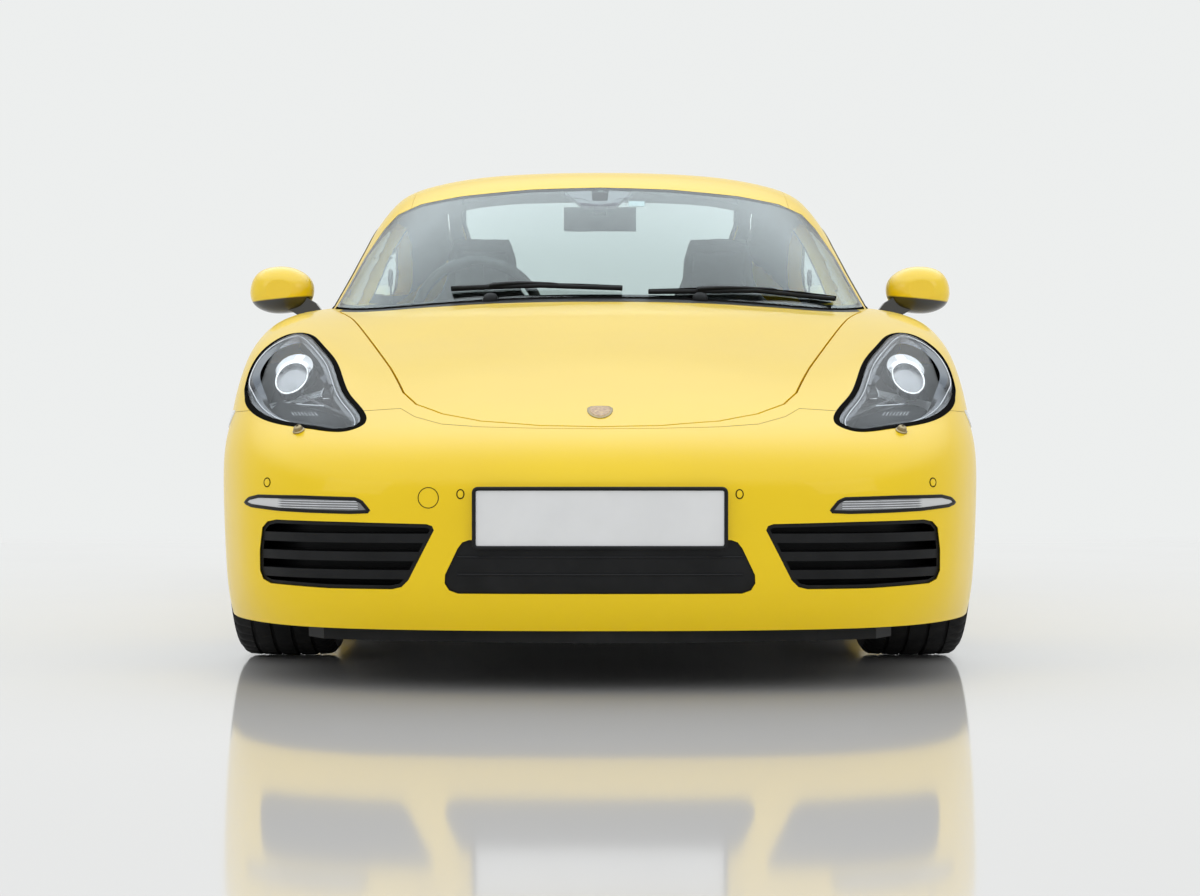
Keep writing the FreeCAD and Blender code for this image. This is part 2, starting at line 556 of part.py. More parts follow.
def make_scoop_grille():
    """The plate and upright bars inside the air intake behind a door."""
    whole = scoop_block(-TRIM_GAP)
    start, end = SCOOP_SHARES[0][0], SCOOP_SHARES[3][0]
    step = (end - start) / (SCOOP_BARS + 1)
    bars = [slab_along(start + step * (i + 1) - SCOOP_BAR_WIDTH_SHARE, start + step * (i + 1)) for i in range(SCOOP_BARS)]
    plate = skin("hull", SCOOP_DEPTH - TRIM_GAP, SCOOP_DEPTH - GRILLE_RIM).common(whole)
    upright = skin("hull", SCOOP_DEPTH - TRIM_GAP, PANEL_WALL).common(whole).common(Part.makeCompound(bars))
    return solids_of(plate.fuse([upright]))


def make_hatch():
    block = from_above(HATCH_SIDE_SHARES, above(HATCH_LOW_SHARE), HIGH)
    window = from_above(REAR_WINDOW_SHARES, above(HATCH_LOW_SHARE), HIGH, grow=FIXED_GAP)
    outer = inside("hull", 0.0).common(block).fuse([inside("canopy", 0.0).common(block)])
    lid = outer.cut([inside("hull", PANEL_WALL), inside("canopy", PANEL_WALL), window])
    return solids_of(lid, 20000.0)


def make_rear_window():
    block = from_above(REAR_WINDOW_SHARES, GROUND, HIGH)
    return solids_of(skin("canopy", GLASS_WALL).common(block).cut([inside("hull", 0.0)]))


def make_rear_bumper():
    block = from_front(REAR_BUMPER_SHARES, REAR_AXLE, TAIL, mirrored=True)
    whole = skin("hull", PANEL_WALL).common(block)
    lamp = tail_lamp_block(FIXED_GAP)
    cuts = [REAR_ARCH, flip(REAR_ARCH), from_above(HATCH_SIDE_SHARES, GROUND, HIGH, grow=MOVING_GAP),
            from_above(SPOILER_SHARES, above(SPOILER_LOW_SHARE), HIGH, grow=FIXED_GAP), diffuser_block(FIXED_GAP),
            rear_plate_block(TRIM_GAP), exhaust_tips(FIXED_GAP), lamp, flip(lamp)]
    return solids_of(whole.cut(cuts), 500000.0)


DIFFUSER_SHARES = ((0, 235), (470, 235), (620, 190), (640, 100), (0, 100))


def diffuser_block(grow=0.0):
    return from_front(DIFFUSER_SHARES, REAR_AXLE, TAIL, mirrored=True, grow=grow)


def make_rear_diffuser():
    whole = skin("hull", PANEL_WALL).common(diffuser_block()).common(slab_along(3800, LENGTH, near=-FAR))
    return solids_of(whole.cut([exhaust_tips(FIXED_GAP)]))


def make_rear_spoiler():
    lamp = tail_lamp_block(FIXED_GAP)
    spoiler = skin("hull", PANEL_WALL).common(from_above(SPOILER_SHARES, above(SPOILER_LOW_SHARE), HIGH))
    return solids_of(spoiler.cut([lamp, flip(lamp)]))


def make_tail_lamps():
    return both(solids_of(skin("hull", PANEL_WALL + GLASS_WALL).common(tail_lamp_block())))


# Lamps, grilles and plates on the nose

PLATE_WIDTH = 520.0
PLATE_HEIGHT = 112.0
PLATE_WALL = 10.0
PLATE_FRAME = 5.0
PLATE_LOW_SHARE = 320
REAR_PLATE_LOW_SHARE = 430
LAMP_DEPTH = 90.0
LAMP_WALL = 6.0
PROJECTOR_RADIUS = 38.0
PROJECTOR_SHARES = (716, 560, 685)
PROJECTOR_INSET = 22.0
SLAT_COUNT = 3
SLAT_TOP_SHARE = 343
SLAT_PITCH_SHARE = 38.6
SLAT_FALL_SHARE = 4
SLAT_RECESS = 5.0
GRILLE_DEPTH = 70.0
GRILLE_RIM = 8.0
STRIP_DEPTH = 24.0


def plate_block(grow=0.0):
    low = above(PLATE_LOW_SHARE) - PLATE_FRAME - grow
    high = above(PLATE_LOW_SHARE) + PLATE_HEIGHT + PLATE_FRAME + grow
    half = PLATE_WIDTH / 2 + PLATE_FRAME + grow
    front = -LENGTH / 2
    return brick(Vector(-half, front - grow, low), Vector(half, front + PLATE_WALL + grow, high))


def rear_plate_block(grow=0.0):
    low = above(REAR_PLATE_LOW_SHARE) - PLATE_FRAME - grow
    high = above(REAR_PLATE_LOW_SHARE) + PLATE_HEIGHT + PLATE_FRAME + grow
    half = PLATE_WIDTH / 2 + PLATE_FRAME + grow
    back = LENGTH / 2
    return brick(Vector(-half, back - PLATE_WALL - grow, low), Vector(half, back + grow, high))


def make_number_plates():
    return Part.makeCompound([plate_block(), rear_plate_block()])


def make_headlamp_lens():
    return solids_of(skin("hull", LENS_WALL).common(lamp_opening(-FIXED_GAP)))


def make_headlamp():
    outer = skin("hull", LAMP_DEPTH, LENS_WALL).common(lamp_opening(-FIXED_GAP))
    hollow = skin("hull", LAMP_DEPTH - LAMP_WALL, GROUND).common(lamp_opening(-FIXED_GAP - LAMP_WALL))
    bowl = outer.cut([hollow])
    x, s, z = PROJECTOR_SHARES
    eye = Part.makeCylinder(PROJECTOR_RADIUS, LAMP_DEPTH * 2, point(x, s, z), Vector(0, 1, 0))
    eye = eye.common(inside("hull", PROJECTOR_INSET)).cut([inside("hull", LAMP_DEPTH)])
    return solids_of(bowl.fuse([eye]).cut([FRONT_ARCH]), 20000.0)


def make_light_strip():
    block = from_front(LIGHT_STRIP_SHARES, NOSE, FRONT_AXLE, grow=-TRIM_GAP)
    return solids_of(skin("hull", STRIP_DEPTH).common(block))


def make_side_grille():
    outer = from_front(SIDE_INTAKE_SHARES, NOSE, FRONT_AXLE, grow=-TRIM_GAP)
    inner = from_front(SIDE_INTAKE_SHARES, NOSE, FRONT_AXLE, grow=-GRILLE_RIM)
    rim = skin("hull", GRILLE_DEPTH, SLAT_RECESS).common(outer.cut([inner]))
    back = skin("hull", GRILLE_DEPTH, GRILLE_DEPTH - GRILLE_RIM).common(outer)
    slats = []
    for i in range(SLAT_COUNT):
        top = SLAT_TOP_SHARE - i * SLAT_PITCH_SHARE
        low = top - SLAT_PITCH_SHARE / 2
        shares = ((300, top), (800, top - SLAT_FALL_SHARE), (800, low - SLAT_FALL_SHARE), (300, low))
        slats.append(from_front(shares, NOSE, FRONT_AXLE).common(outer))
    bars = skin("hull", GRILLE_DEPTH, SLAT_RECESS).common(Part.makeCompound(slats))
    return solids_of(rim.fuse([back, bars]).cut([FRONT_ARCH]))


def make_centre_grille():
    block = from_front(CENTRE_INTAKE_SHARES, NOSE, FRONT_AXLE, mirrored=True, grow=-TRIM_GAP)
    block = block.cut([plate_block(TRIM_GAP)])
    return solids_of(skin("hull", PANEL_WALL + SLAT_RECESS, SLAT_RECESS).common(block))


def make_intake_grilles():
    side, scoop = make_side_grille(), make_scoop_grille()
    return Part.makeCompound([side, flip(side), scoop, flip(scoop), make_centre_grille()])


LIP_SHARES = ((60, 90), (250, 96), (470, 128), (600, 178), (640, 240), (610, 300), (0, 300))
LIP_LOW_SHARE = 108


def make_front_lip():
    block = from_above(((0, 60),) + LIP_SHARES[1:], above(LIP_LOW_SHARE), above(SILL) - TRIM_GAP)
    return block


# Wheels, knuckles and arms, drawn for the left side

def ring_profile(points, y, z):
    """A ring turned about an axle, from places across and away from the axle."""
    wire = [Vector(x, y, z + r) for x, r in points]
    return ring_of(wire).revolve(Vector(0, y, z), Vector(1, 0, 0), 360)


def wheel_sizes(front):
    if front:
        return FRONT_AXLE, FRONT_TYRE_RADIUS, FRONT_TYRE_WIDTH, FRONT_TRACK / 2
    return REAR_AXLE, REAR_TYRE_RADIUS, REAR_TYRE_WIDTH, REAR_TRACK / 2


def make_tyre(front):
    """Round the rim: its feet stand between the rim's flanges, and the walls start above them."""
    y, radius, width, middle = wheel_sizes(front)
    half = width / 2
    wall = radius - RIM_RADIUS
    foot = half * RIM_WIDTH_SHARE - RIM_FLANGE_WALL - TRIM_GAP
    side = [(foot, 0), (foot, RIM_FLANGE + TRIM_GAP), (half, wall * 0.42), (half * 0.96, wall * 0.7),
            (half * 0.84, wall * 0.93), (half * 0.6, wall)]
    profile = [(-x, r) for x, r in side] + [(x, r) for x, r in reversed(side)]
    points = [(middle + x, RIM_RADIUS + r) for x, r in profile]
    return ring_profile(points, y, radius)


# The barrel's section, from its inner edge: places across from the edge, and out from the barrel's inside
RIM_FLANGE = 8.0
RIM_FLANGE_WALL = 6.0
RIM_SHOULDER = 20.0
# The spokes' front and back faces: steps in from the rim's outer edge, at shares of the barrel's radius
SPOKE_FRONT_STEPS = ((24.0, 0.0), (24.0, 0.24), (32.0, 0.39), (27.0, 0.73), (22.0, 1.04))
SPOKE_BACK_STEPS = ((46.0, 1.04), (58.0, 0.73), (70.0, 0.39), (70.0, 0.0))
# One pair of spokes, seen from the side: places out from the axle and to each side, as shares of the radius
SPOKE_SHARES = ((0.16, 0.13), (0.40, 0.15), (0.84, 0.245), (1.06, 0.33))
SPOKE_WINDOW_SHARES = ((0.47, 0.03), (0.84, 0.13), (1.10, 0.19))
HUB_SHARE = 0.34


def spoke_pattern(y, z, radius, start, end):
    """The pairs of spokes seen from the side, as a block along the axle."""
    def leg(shares):
        right = [Vector(start, y + t * radius, z + r * radius) for r, t in shares]
        left = [Vector(start, y - t * radius, z + r * radius) for r, t in reversed(shares)]
        return ring_of(right + left).extrude(Vector(end - start, 0, 0))
    pair = leg(SPOKE_SHARES).cut([leg(SPOKE_WINDOW_SHARES)])
    pieces = [tube_along_x(HUB_SHARE * radius, start, end, y, z)]
    for i in range(SPOKE_PAIRS):
        turned = pair.copy()
        turned.rotate(Vector(0, y, z), Vector(1, 0, 0), i * 360 / SPOKE_PAIRS)
        pieces.append(turned)
    return pieces[0].fuse(pieces[1:])


def make_rim(front):
    y, radius, width, middle = wheel_sizes(front)
    half = width / 2 * RIM_WIDTH_SHARE
    inner = RIM_RADIUS - RIM_BARREL_WALL
    lip = RIM_RADIUS + RIM_FLANGE
    seat = RIM_RADIUS - TRIM_GAP
    barrel = [(-half, lip), (-half, inner + RIM_FLANGE_WALL), (-half + RIM_SHOULDER, inner),
              (half - RIM_SHOULDER, inner), (half, inner + RIM_FLANGE_WALL), (half, lip),
              (half - RIM_FLANGE_WALL, lip), (half - RIM_FLANGE_WALL, seat), (-half + RIM_FLANGE_WALL, seat),
              (-half + RIM_FLANGE_WALL, lip)]
    rim = ring_profile([(middle + x, r) for x, r in barrel], y, radius)
    edge = middle + half
    steps = [(edge - x, r * inner) for x, r in SPOKE_FRONT_STEPS + SPOKE_BACK_STEPS]
    disc = ring_profile(steps, y, radius)
    spokes = spoke_pattern(y, radius, inner, middle - half, edge).common(disc)
    back = edge - SPOKE_BACK_STEPS[-1][0]
    disc_back = middle - DISC_WALL / 2
    pieces = [spokes, tube_along_x(DISC_RADIUS, disc_back, disc_back + DISC_WALL, y, radius),
              tube_along_x(HUB_RADIUS, disc_back, back + FIXED_GAP, y, radius)]
    bore = tube_along_x(SPINDLE_RADIUS + SPINDLE_GAP, disc_back - OVERRUN, spindle_end(front) + SPINDLE_RUN, y, radius)
    return solids_of(rim.fuse(pieces).cut([bore]).removeSplitter())


def spindle_end(front):
    y, radius, width, middle = wheel_sizes(front)
    return middle + width / 2 * RIM_WIDTH_SHARE - SPOKE_FRONT_STEPS[0][0] - SPINDLE_END


BALL_JOINT_SHARES = (705, 200)
STRUT_TOP_SHARES = (575, 760)
STRUT_RADIUS = 24.0
STRUT_GAP = 10.0


def steer_points():
    low = Vector(across(BALL_JOINT_SHARES[0]), FRONT_AXLE, above(BALL_JOINT_SHARES[1]))
    high = Vector(across(STRUT_TOP_SHARES[0]), FRONT_AXLE, above(STRUT_TOP_SHARES[1]))
    return low, high


# How far the caliper reaches from the wheel's middle, towards the car and towards the spokes
CALIPER_INNER = 45.0
CALIPER_OUTER = 34.0
STRUT_LENGTH_SHARE = 0.84


def make_caliper(y, z, middle):
    """A shoe over the disc's edge with its two cheeks, 5 mm clear of the disc."""
    reach = DISC_RADIUS + 30
    body = tube_along_x(reach, middle - CALIPER_INNER, middle + CALIPER_OUTER, y, z)
    body = body.cut([tube_along_x(DISC_RADIUS - 62, middle - OVERRUN, middle + OVERRUN, y, z)])
    wedge = brick(Vector(middle - CALIPER_INNER, y + 60, z - 75), Vector(middle + CALIPER_OUTER, y + reach, z + 75))
    body = body.common(wedge)
    slot = tube_along_x(DISC_RADIUS + MOVING_GAP, middle - DISC_WALL / 2 - MOVING_GAP,
                        middle + DISC_WALL / 2 + MOVING_GAP, y, z)
    return body.cut([slot])


def make_knuckle(front):
    y, radius, width, middle = wheel_sizes(front)
    disc_back = middle - DISC_WALL / 2
    spindle = tube_along_x(SPINDLE_RADIUS, disc_back - KNUCKLE_WALL, spindle_end(front), y, radius)
    carrier = tube_along_x(KNUCKLE_RADIUS, disc_back - MOVING_GAP - KNUCKLE_WALL, disc_back - MOVING_GAP, y, radius)
    bracket = brick(Vector(disc_back - MOVING_GAP - 28, y, radius - 30),
                    Vector(disc_back - MOVING_GAP, y + DISC_RADIUS - 20, radius + 30))
    pieces = [carrier, bracket, make_caliper(y, radius, middle)]
    if front:
        low, high = steer_points()
        axis = high - low
        start = low + axis * 0.05
        pieces.append(Part.makeCylinder(STRUT_RADIUS, axis.Length * STRUT_LENGTH_SHARE, start, axis))
    return solids_of(spindle.fuse(pieces).removeSplitter())


def make_arm(front):
    """The lower arm of one wheel, an A lying flat from two inner pivots to the ball joint."""
    y, radius, width, middle = wheel_sizes(front)
    tip = across(BALL_JOINT_SHARES[0]) if front else middle - DISC_WALL / 2 - KNUCKLE_WALL
    foot = across(380)
    low = above(FLOOR_HIGH_SHARE) + TRIM_GAP
    points = [Vector(tip + 24, y - 22, low), Vector(tip + 24, y + 22, low), Vector(foot, y + 120, low),
              Vector(foot, y - 120, low)]
    arm = ring_of(points).extrude(Vector(0, 0, ARM_WALL))
    hole = [Vector(tip - 90, y, low - 1), Vector(foot + 30, y + 70, low - 1), Vector(foot + 30, y - 70, low - 1)]
    return arm.cut([ring_of(hole).extrude(Vector(0, 0, ARM_WALL + 2))])


def make_front_subframe():
    arm = make_arm(True)
    foot = across(380)
    low = above(FLOOR_HIGH_SHARE) + TRIM_GAP
    beam = brick(Vector(0, FRONT_AXLE - 130, low), Vector(foot, FRONT_AXLE + 130, low + SUBFRAME_WALL))
    half = beam.fuse([arm])
    x = across(BALL_JOINT_SHARES[0])
    pin = Part.makeCylinder(14, 12, Vector(x, FRONT_AXLE, low + ARM_WALL - 4), Vector(0, 0, 1))
    half = half.fuse([pin])
    return solids_of(half.fuse([flip(half)]).removeSplitter())


def make_rear_subframe():
    arm = make_arm(False)
    foot = across(380)
    low = above(FLOOR_HIGH_SHARE) + TRIM_GAP
    beam = brick(Vector(0, REAR_AXLE - 130, low), Vector(foot, REAR_AXLE + 130, low + SUBFRAME_WALL))
    y, radius, width, middle = wheel_sizes(False)
    end = middle - DISC_WALL / 2 - MOVING_GAP - KNUCKLE_WALL - TRIM_GAP
    block = brick(Vector(end - 40, y - 30, low + 4), Vector(end, y + 30, radius))
    half = beam.fuse([arm, block]).cut([tube_along_x(SHAFT_RADIUS + TRIM_GAP, 0, end + OVERRUN, y, radius)])
    return solids_of(half.fuse([flip(half)]).removeSplitter())


def make_drive_shafts():
    y, radius, width, middle = wheel_sizes(False)
    end = middle - DISC_WALL / 2 - MOVING_GAP - KNUCKLE_WALL
    shaft = tube_along_x(SHAFT_RADIUS, across(170), end - TRIM_GAP, y, radius)
    return both(shaft)


def make_arch_liner(front):
    y, radius, width, middle = wheel_sizes(front)
    outer_radius = radius + ARCH_CLEARANCE
    tube = tube_along_x(outer_radius, ARCH_INSIDE, across(840), y, radius)
    hollow = tube_along_x(outer_radius - ARCH_LINER_WALL, ARCH_INSIDE + ARCH_LINER_WALL, FAR, y, radius)
    liner = tube.cut([hollow]).common(slab_along(0, LENGTH, low=radius - 40))
    liner = liner.common(inside("hull", PANEL_WALL + TRIM_GAP))
    if front:
        low, high = steer_points()
        axis = high - low
        liner = liner.cut([Part.makeCylinder(STRUT_RADIUS + STRUT_GAP, axis.Length * 1.2, low, axis)])
    else:
        liner = liner.cut([tube_along_x(SHAFT_RADIUS + STRUT_GAP, 0, FAR, y, radius)])
        slot = brick(Vector(0, y - 140, 0), Vector(across(700), y + 140, radius))
        liner = liner.cut([slot])
    return solids_of(liner)


# Floor, tubs and what stands in them

FLOOR_LOW_SHARE = 140
FLOOR_HIGH_SHARE = 165
TUNNEL_HALF_WIDTH = 115.0
TUNNEL_WALL = 12.0
TUB_WALL = 6.0
BULKHEAD_WALL = 14.0
FRONT_BULKHEAD_SHARE = 1322
REAR_BULKHEAD_SHARE = 2742
FRONT_TUB_SHARES = (640, 1270, 300)
REAR_TRAY_SHARES = (2765, 3880, 690)


BULKHEAD_TOP_SHARE = 750


# The wide rear floor starts just behind the thick body sides and laps the narrower cabin floor
REAR_FLOOR_SHARE = QUARTER_SHARE + 1
REAR_FLOOR_LAP = 20


def make_floor_tub():
    low, high = above(FLOOR_LOW_SHARE), above(FLOOR_HIGH_SHARE)
    cabin = slab_along(FRONT_BULKHEAD_SHARE, REAR_FLOOR_SHARE + REAR_FLOOR_LAP, near=-FAR, low=low, high=high)
    cabin = cabin.common(inside("hull", DOOR_WALL))
    ends = [slab_along(110, FRONT_BULKHEAD_SHARE, near=-FAR, low=low, high=high),
            slab_along(REAR_FLOOR_SHARE, 3800, near=-FAR, low=low, high=high)]
    ends = Part.makeCompound(ends).common(inside("hull", PANEL_WALL)).cut([ARCHES, flip(ARCHES)])
    start, end = along(FRONT_BULKHEAD_SHARE), along(REAR_BULKHEAD_SHARE)
    walls = []
    for place in (start, end):
        wall = brick(Vector(-FAR, place, low), Vector(FAR, place + BULKHEAD_WALL, above(BULKHEAD_TOP_SHARE)))
        walls.append(wall.common(inside("hull", DOOR_WALL)))
    tunnel = brick(Vector(-TUNNEL_HALF_WIDTH, start, high), Vector(TUNNEL_HALF_WIDTH, end, above(400)))
    inner = TUNNEL_HALF_WIDTH - TUNNEL_WALL
    tunnel = tunnel.cut([brick(Vector(-inner, start, high), Vector(inner, end, above(400) - TUNNEL_WALL))])
    return solids_of(cabin.fuse([ends, tunnel] + walls), 20000.0)


def open_box(start, end, half, low, high):
    box = brick(Vector(-half, start, low), Vector(half, end, high))
    inner = brick(Vector(-half + TUB_WALL, start + TUB_WALL, low + TUB_WALL),
                  Vector(half - TUB_WALL, end - TUB_WALL, high + OVERRUN))
    return box.cut([inner])


def make_front_tub():
    start, end, low = FRONT_TUB_SHARES
    tub = open_box(along(start), along(end), ARCH_INSIDE - TRIM_GAP, above(low), above(900))
    return solids_of(tub.common(inside("hull", PANEL_WALL * 2)))


def make_rear_tray():
    start, end, low = REAR_TRAY_SHARES
    tub = open_box(along(start), along(end), ARCH_INSIDE - TRIM_GAP, above(low), above(800))
    return solids_of(tub.common(inside("hull", PANEL_WALL * 2)))


SUBFRAME_WALL = 40.0
ENGINE_SHARES = (2790, 3300, 600)
ENGINE_HALF_WIDTH = 330.0
GEARBOX_SHARES = (3290, 3780, 520)
GEARBOX_HALF_WIDTH = 165.0


def make_engine_block():
    low = above(FLOOR_HIGH_SHARE) + TRIM_GAP + SUBFRAME_WALL + TRIM_GAP
    engine = slab_along(*ENGINE_SHARES[:2], near=-ENGINE_HALF_WIDTH, far=ENGINE_HALF_WIDTH, low=low,
                        high=above(ENGINE_SHARES[2]))
    gearbox = slab_along(*GEARBOX_SHARES[:2], near=-GEARBOX_HALF_WIDTH, far=GEARBOX_HALF_WIDTH, low=low,
                         high=above(GEARBOX_SHARES[2]))
    return engine.fuse([gearbox]).removeSplitter()


EXHAUST_TIP_RADIUS = 46.0
EXHAUST_TIP_PLACE = (58, 205)


def exhaust_tips(extra=0.0):
    x, z = EXHAUST_TIP_PLACE
    tip = Part.makeCylinder(EXHAUST_TIP_RADIUS + extra, 260, Vector(x, along(4110), z), Vector(0, 1, 0))
    return both(tip)


def make_exhaust():
    box = brick(Vector(-330, along(3900), above(160)), Vector(330, along(4120), above(330)))
    bores = Part.makeCylinder(EXHAUST_TIP_RADIUS - 5, 200, Vector(EXHAUST_TIP_PLACE[0], along(4180), EXHAUST_TIP_PLACE[1]), Vector(0, 1, 0))
    return solids_of(box.fuse([exhaust_tips()]).cut([both(bores)]))


DASH_SHARES = ((1480, 840), (1590, 868), (1720, 872), (1800, 850), (1822, 790), (1800, 640), (1740, 560),
               (1480, 560))
CONSOLE_SHARES = ((1740, 640), (1830, 600), (2100, 520), (2450, 520), (2450, 400), (1740, 400))


def make_dashboard():
    half = across(672)
    block = from_side(DASH_SHARES, -half, half)
    upper = block.common(inside("canopy", PILLAR_WALL + 12))
    lower = block.common(brick(Vector(-FAR, NOSE, 0), Vector(FAR, TAIL, above(BELT))))
    lower = lower.common(inside("hull", DOOR_WALL + 8))
    console = from_side(CONSOLE_SHARES, -TUNNEL_HALF_WIDTH, TUNNEL_HALF_WIDTH)
    return solids_of(upper.fuse([lower, console]).removeSplitter())


SEAT_PLACE = 372
SEAT_HALF_WIDTH = 245.0
SEAT_BASE_SHARES = ((1960, 330), (1975, 440), (2080, 462), (2350, 430), (2420, 420), (2460, 250), (2440, 200),
                    (2000, 200), (1970, 260))
SEAT_BACK_SHARES = ((2350, 440), (2425, 640), (2500, 900), (2545, 1060), (2575, 1140), (2612, 1152),
                    (2640, 1120), (2634, 1040), (2600, 860), (2560, 600), (2520, 420), (2440, 300))


def make_seat():
    middle = across(SEAT_PLACE)
    base = from_side(SEAT_BASE_SHARES, middle - SEAT_HALF_WIDTH, middle + SEAT_HALF_WIDTH)
    back = from_side(SEAT_BACK_SHARES, middle - SEAT_HALF_WIDTH, middle + SEAT_HALF_WIDTH)
    outline = [(-245, 180), (245, 180), (250, 620), (232, 860), (150, 930), (118, 1000), (110, 1140), (70, 1160),
               (-70, 1160), (-110, 1140), (-118, 1000), (-150, 930), (-232, 860), (-250, 620)]
    face = ring_of([Vector(middle + x, along(1900), above(z)) for x, z in outline])
    back = back.common(face.extrude(Vector(0, 900, 0)))
    rails = [brick(Vector(middle + x - 20, along(2000), above(FLOOR_HIGH_SHARE)),
                   Vector(middle + x + 20, along(2400), above(205))) for x in (-170, 170)]
    return solids_of(base.fuse([back] + rails).removeSplitter())


WHEEL_CENTRE_SHARES = (-350, 1930, 862)
COLUMN_TILT = 22.0
STEERING_RIM_RADIUS = 178.0
STEERING_RIM_WALL = 15.0
STEERING_HUB_RADIUS = 48.0
STEERING_HUB_WALL = 44.0
STEERING_HUB_BACK = 40.0
COLUMN_RADIUS = 30.0
COLUMN_LENGTH = 150.0
COLUMN_SHAFT_RADIUS = 10.0
COLUMN_SHAFT_RUN = 26.0


def column_axis():
    tilt = math.radians(COLUMN_TILT)
    return Vector(0, math.cos(tilt), math.sin(tilt))


def make_steering_wheel():
    centre = point(*WHEEL_CENTRE_SHARES)
    axis = column_axis()
    rim = Part.makeTorus(STEERING_RIM_RADIUS, STEERING_RIM_WALL, centre, axis)
    hub = Part.makeCylinder(STEERING_HUB_RADIUS, STEERING_HUB_WALL, centre - axis * STEERING_HUB_BACK, axis)
    pieces = [hub]
    for angle in (0, 180, 270):
        spoke = Part.makeBox(STEERING_RIM_RADIUS - 4, 36, 14, Vector(0, -18, -20))
        spoke.rotate(Vector(), Vector(0, 0, 1), angle)
        spoke.Placement = FreeCAD.Placement(centre, Rotation(Vector(0, 0, 1), axis)).multiply(spoke.Placement)
        pieces.append(spoke)
    bore = Part.makeCylinder(COLUMN_SHAFT_RADIUS + SPINDLE_GAP, COLUMN_SHAFT_RUN + FIXED_GAP,
                             centre - axis * STEERING_HUB_BACK, axis)
    return solids_of(rim.fuse(pieces).cut([bore]))


def make_column():
    """The fixed column with the shaft that the steering wheel turns on."""
    centre = point(*WHEEL_CENTRE_SHARES)
    axis = column_axis()
    back = STEERING_HUB_BACK + MOVING_GAP + COLUMN_LENGTH
    column = Part.makeCylinder(COLUMN_RADIUS, COLUMN_LENGTH, centre - axis * back, axis)
    shaft = Part.makeCylinder(COLUMN_SHAFT_RADIUS, back - STEERING_HUB_BACK + COLUMN_SHAFT_RUN, centre - axis * back,
                              axis)
    return column.fuse([shaft])


MIRROR_SHARE = 1785
MIRROR_SHARES = ((812, 930), (822, 978), (862, 1003), (918, 1008), (966, 990), (987, 948), (980, 905), (945, 882),
                 (885, 878), (834, 893))
MIRROR_STEP_SHARES = ((26, 1.0), (0, 1.0), (-26, 0.92), (-46, 0.72), (-58, 0.4))
MIRROR_FOOT_SHARES = ((772, 868), (800, 905), (850, 935), (900, 935), (880, 888), (835, 862), (800, 846))
MIRROR_FOOT_AHEAD_SHARE = 30
MIRROR_FOOT_DEPTH = 46.0


def smooth_wire(points):
    return smooth_face(points).OuterWire


def make_mirror():
    """The shell is lofted through one outline, drawn smaller at each step towards its front."""
    count = len(MIRROR_SHARES)
    middle_x = sum(x for x, z in MIRROR_SHARES) / count
    middle_z = sum(z for x, z in MIRROR_SHARES) / count
    wires = []
    for behind, size in MIRROR_STEP_SHARES:
        place = MIRROR_SHARE + behind
        wires.append(smooth_wire([point(middle_x + (x - middle_x) * size, place, middle_z + (z - middle_z) * size)
                                  for x, z in MIRROR_SHARES]))
    shell = Part.makeLoft(wires, True)
    foot = ring_of([point(x, MIRROR_SHARE - MIRROR_FOOT_AHEAD_SHARE, z) for x, z in MIRROR_FOOT_SHARES])
    whole = shell.fuse([foot.extrude(Vector(0, MIRROR_FOOT_DEPTH, 0))])
    return solids_of(whole.cut([inside("hull", 0.0), inside("canopy", 0.0)]))


def make_interior_mirror():
    glass = brick(Vector(-104, along(1965), above(1120)), Vector(104, along(1985), above(1188)))
    stem = ring_of([Vector(-26, along(1850), above(1235)), Vector(26, along(1850), above(1235)),
                    Vector(16, along(1850), above(1165)), Vector(-16, along(1850), above(1165))])
    stem = stem.extrude(Vector(0, along(1970) - along(1850), 0)).common(inside("canopy", GLASS_WALL))
    return solids_of(stem.fuse([glass]))


def on_glass(x_share, z_share, lift):
    """The place on the windscreen seen from the front at a place across and up, lifted off it."""
    x, z = across(x_share), above(z_share)
    line = Part.makeLine(Vector(x, NOSE, z), Vector(x, 0, z))
    hit = line.common(inside("canopy", 0.0))
    front = min(v.Point.y for v in hit.Vertexes)
    return Vector(x, front - lift, z + lift / 2)


WIPER_LIFT = 14.0
WIPER_RADIUS = 6.0
WIPERS_SHARES = (((-400, 925), (-160, 930), (60, 922)), ((130, 912), (420, 918), (640, 900)))


def make_wipers():
    rods = []
    for places in WIPERS_SHARES:
        points = [on_glass(x, z, WIPER_LIFT) for x, z in places]
        rod = [Part.makeCylinder(WIPER_RADIUS, (b - a).Length, a, b - a) for a, b in zip(points, points[1:])]
        rod.append(Part.makeSphere(WIPER_RADIUS, points[1]))
        rods.append(rod[0].fuse(rod[1:]))
    return solids_of(Part.makeCompound(rods))


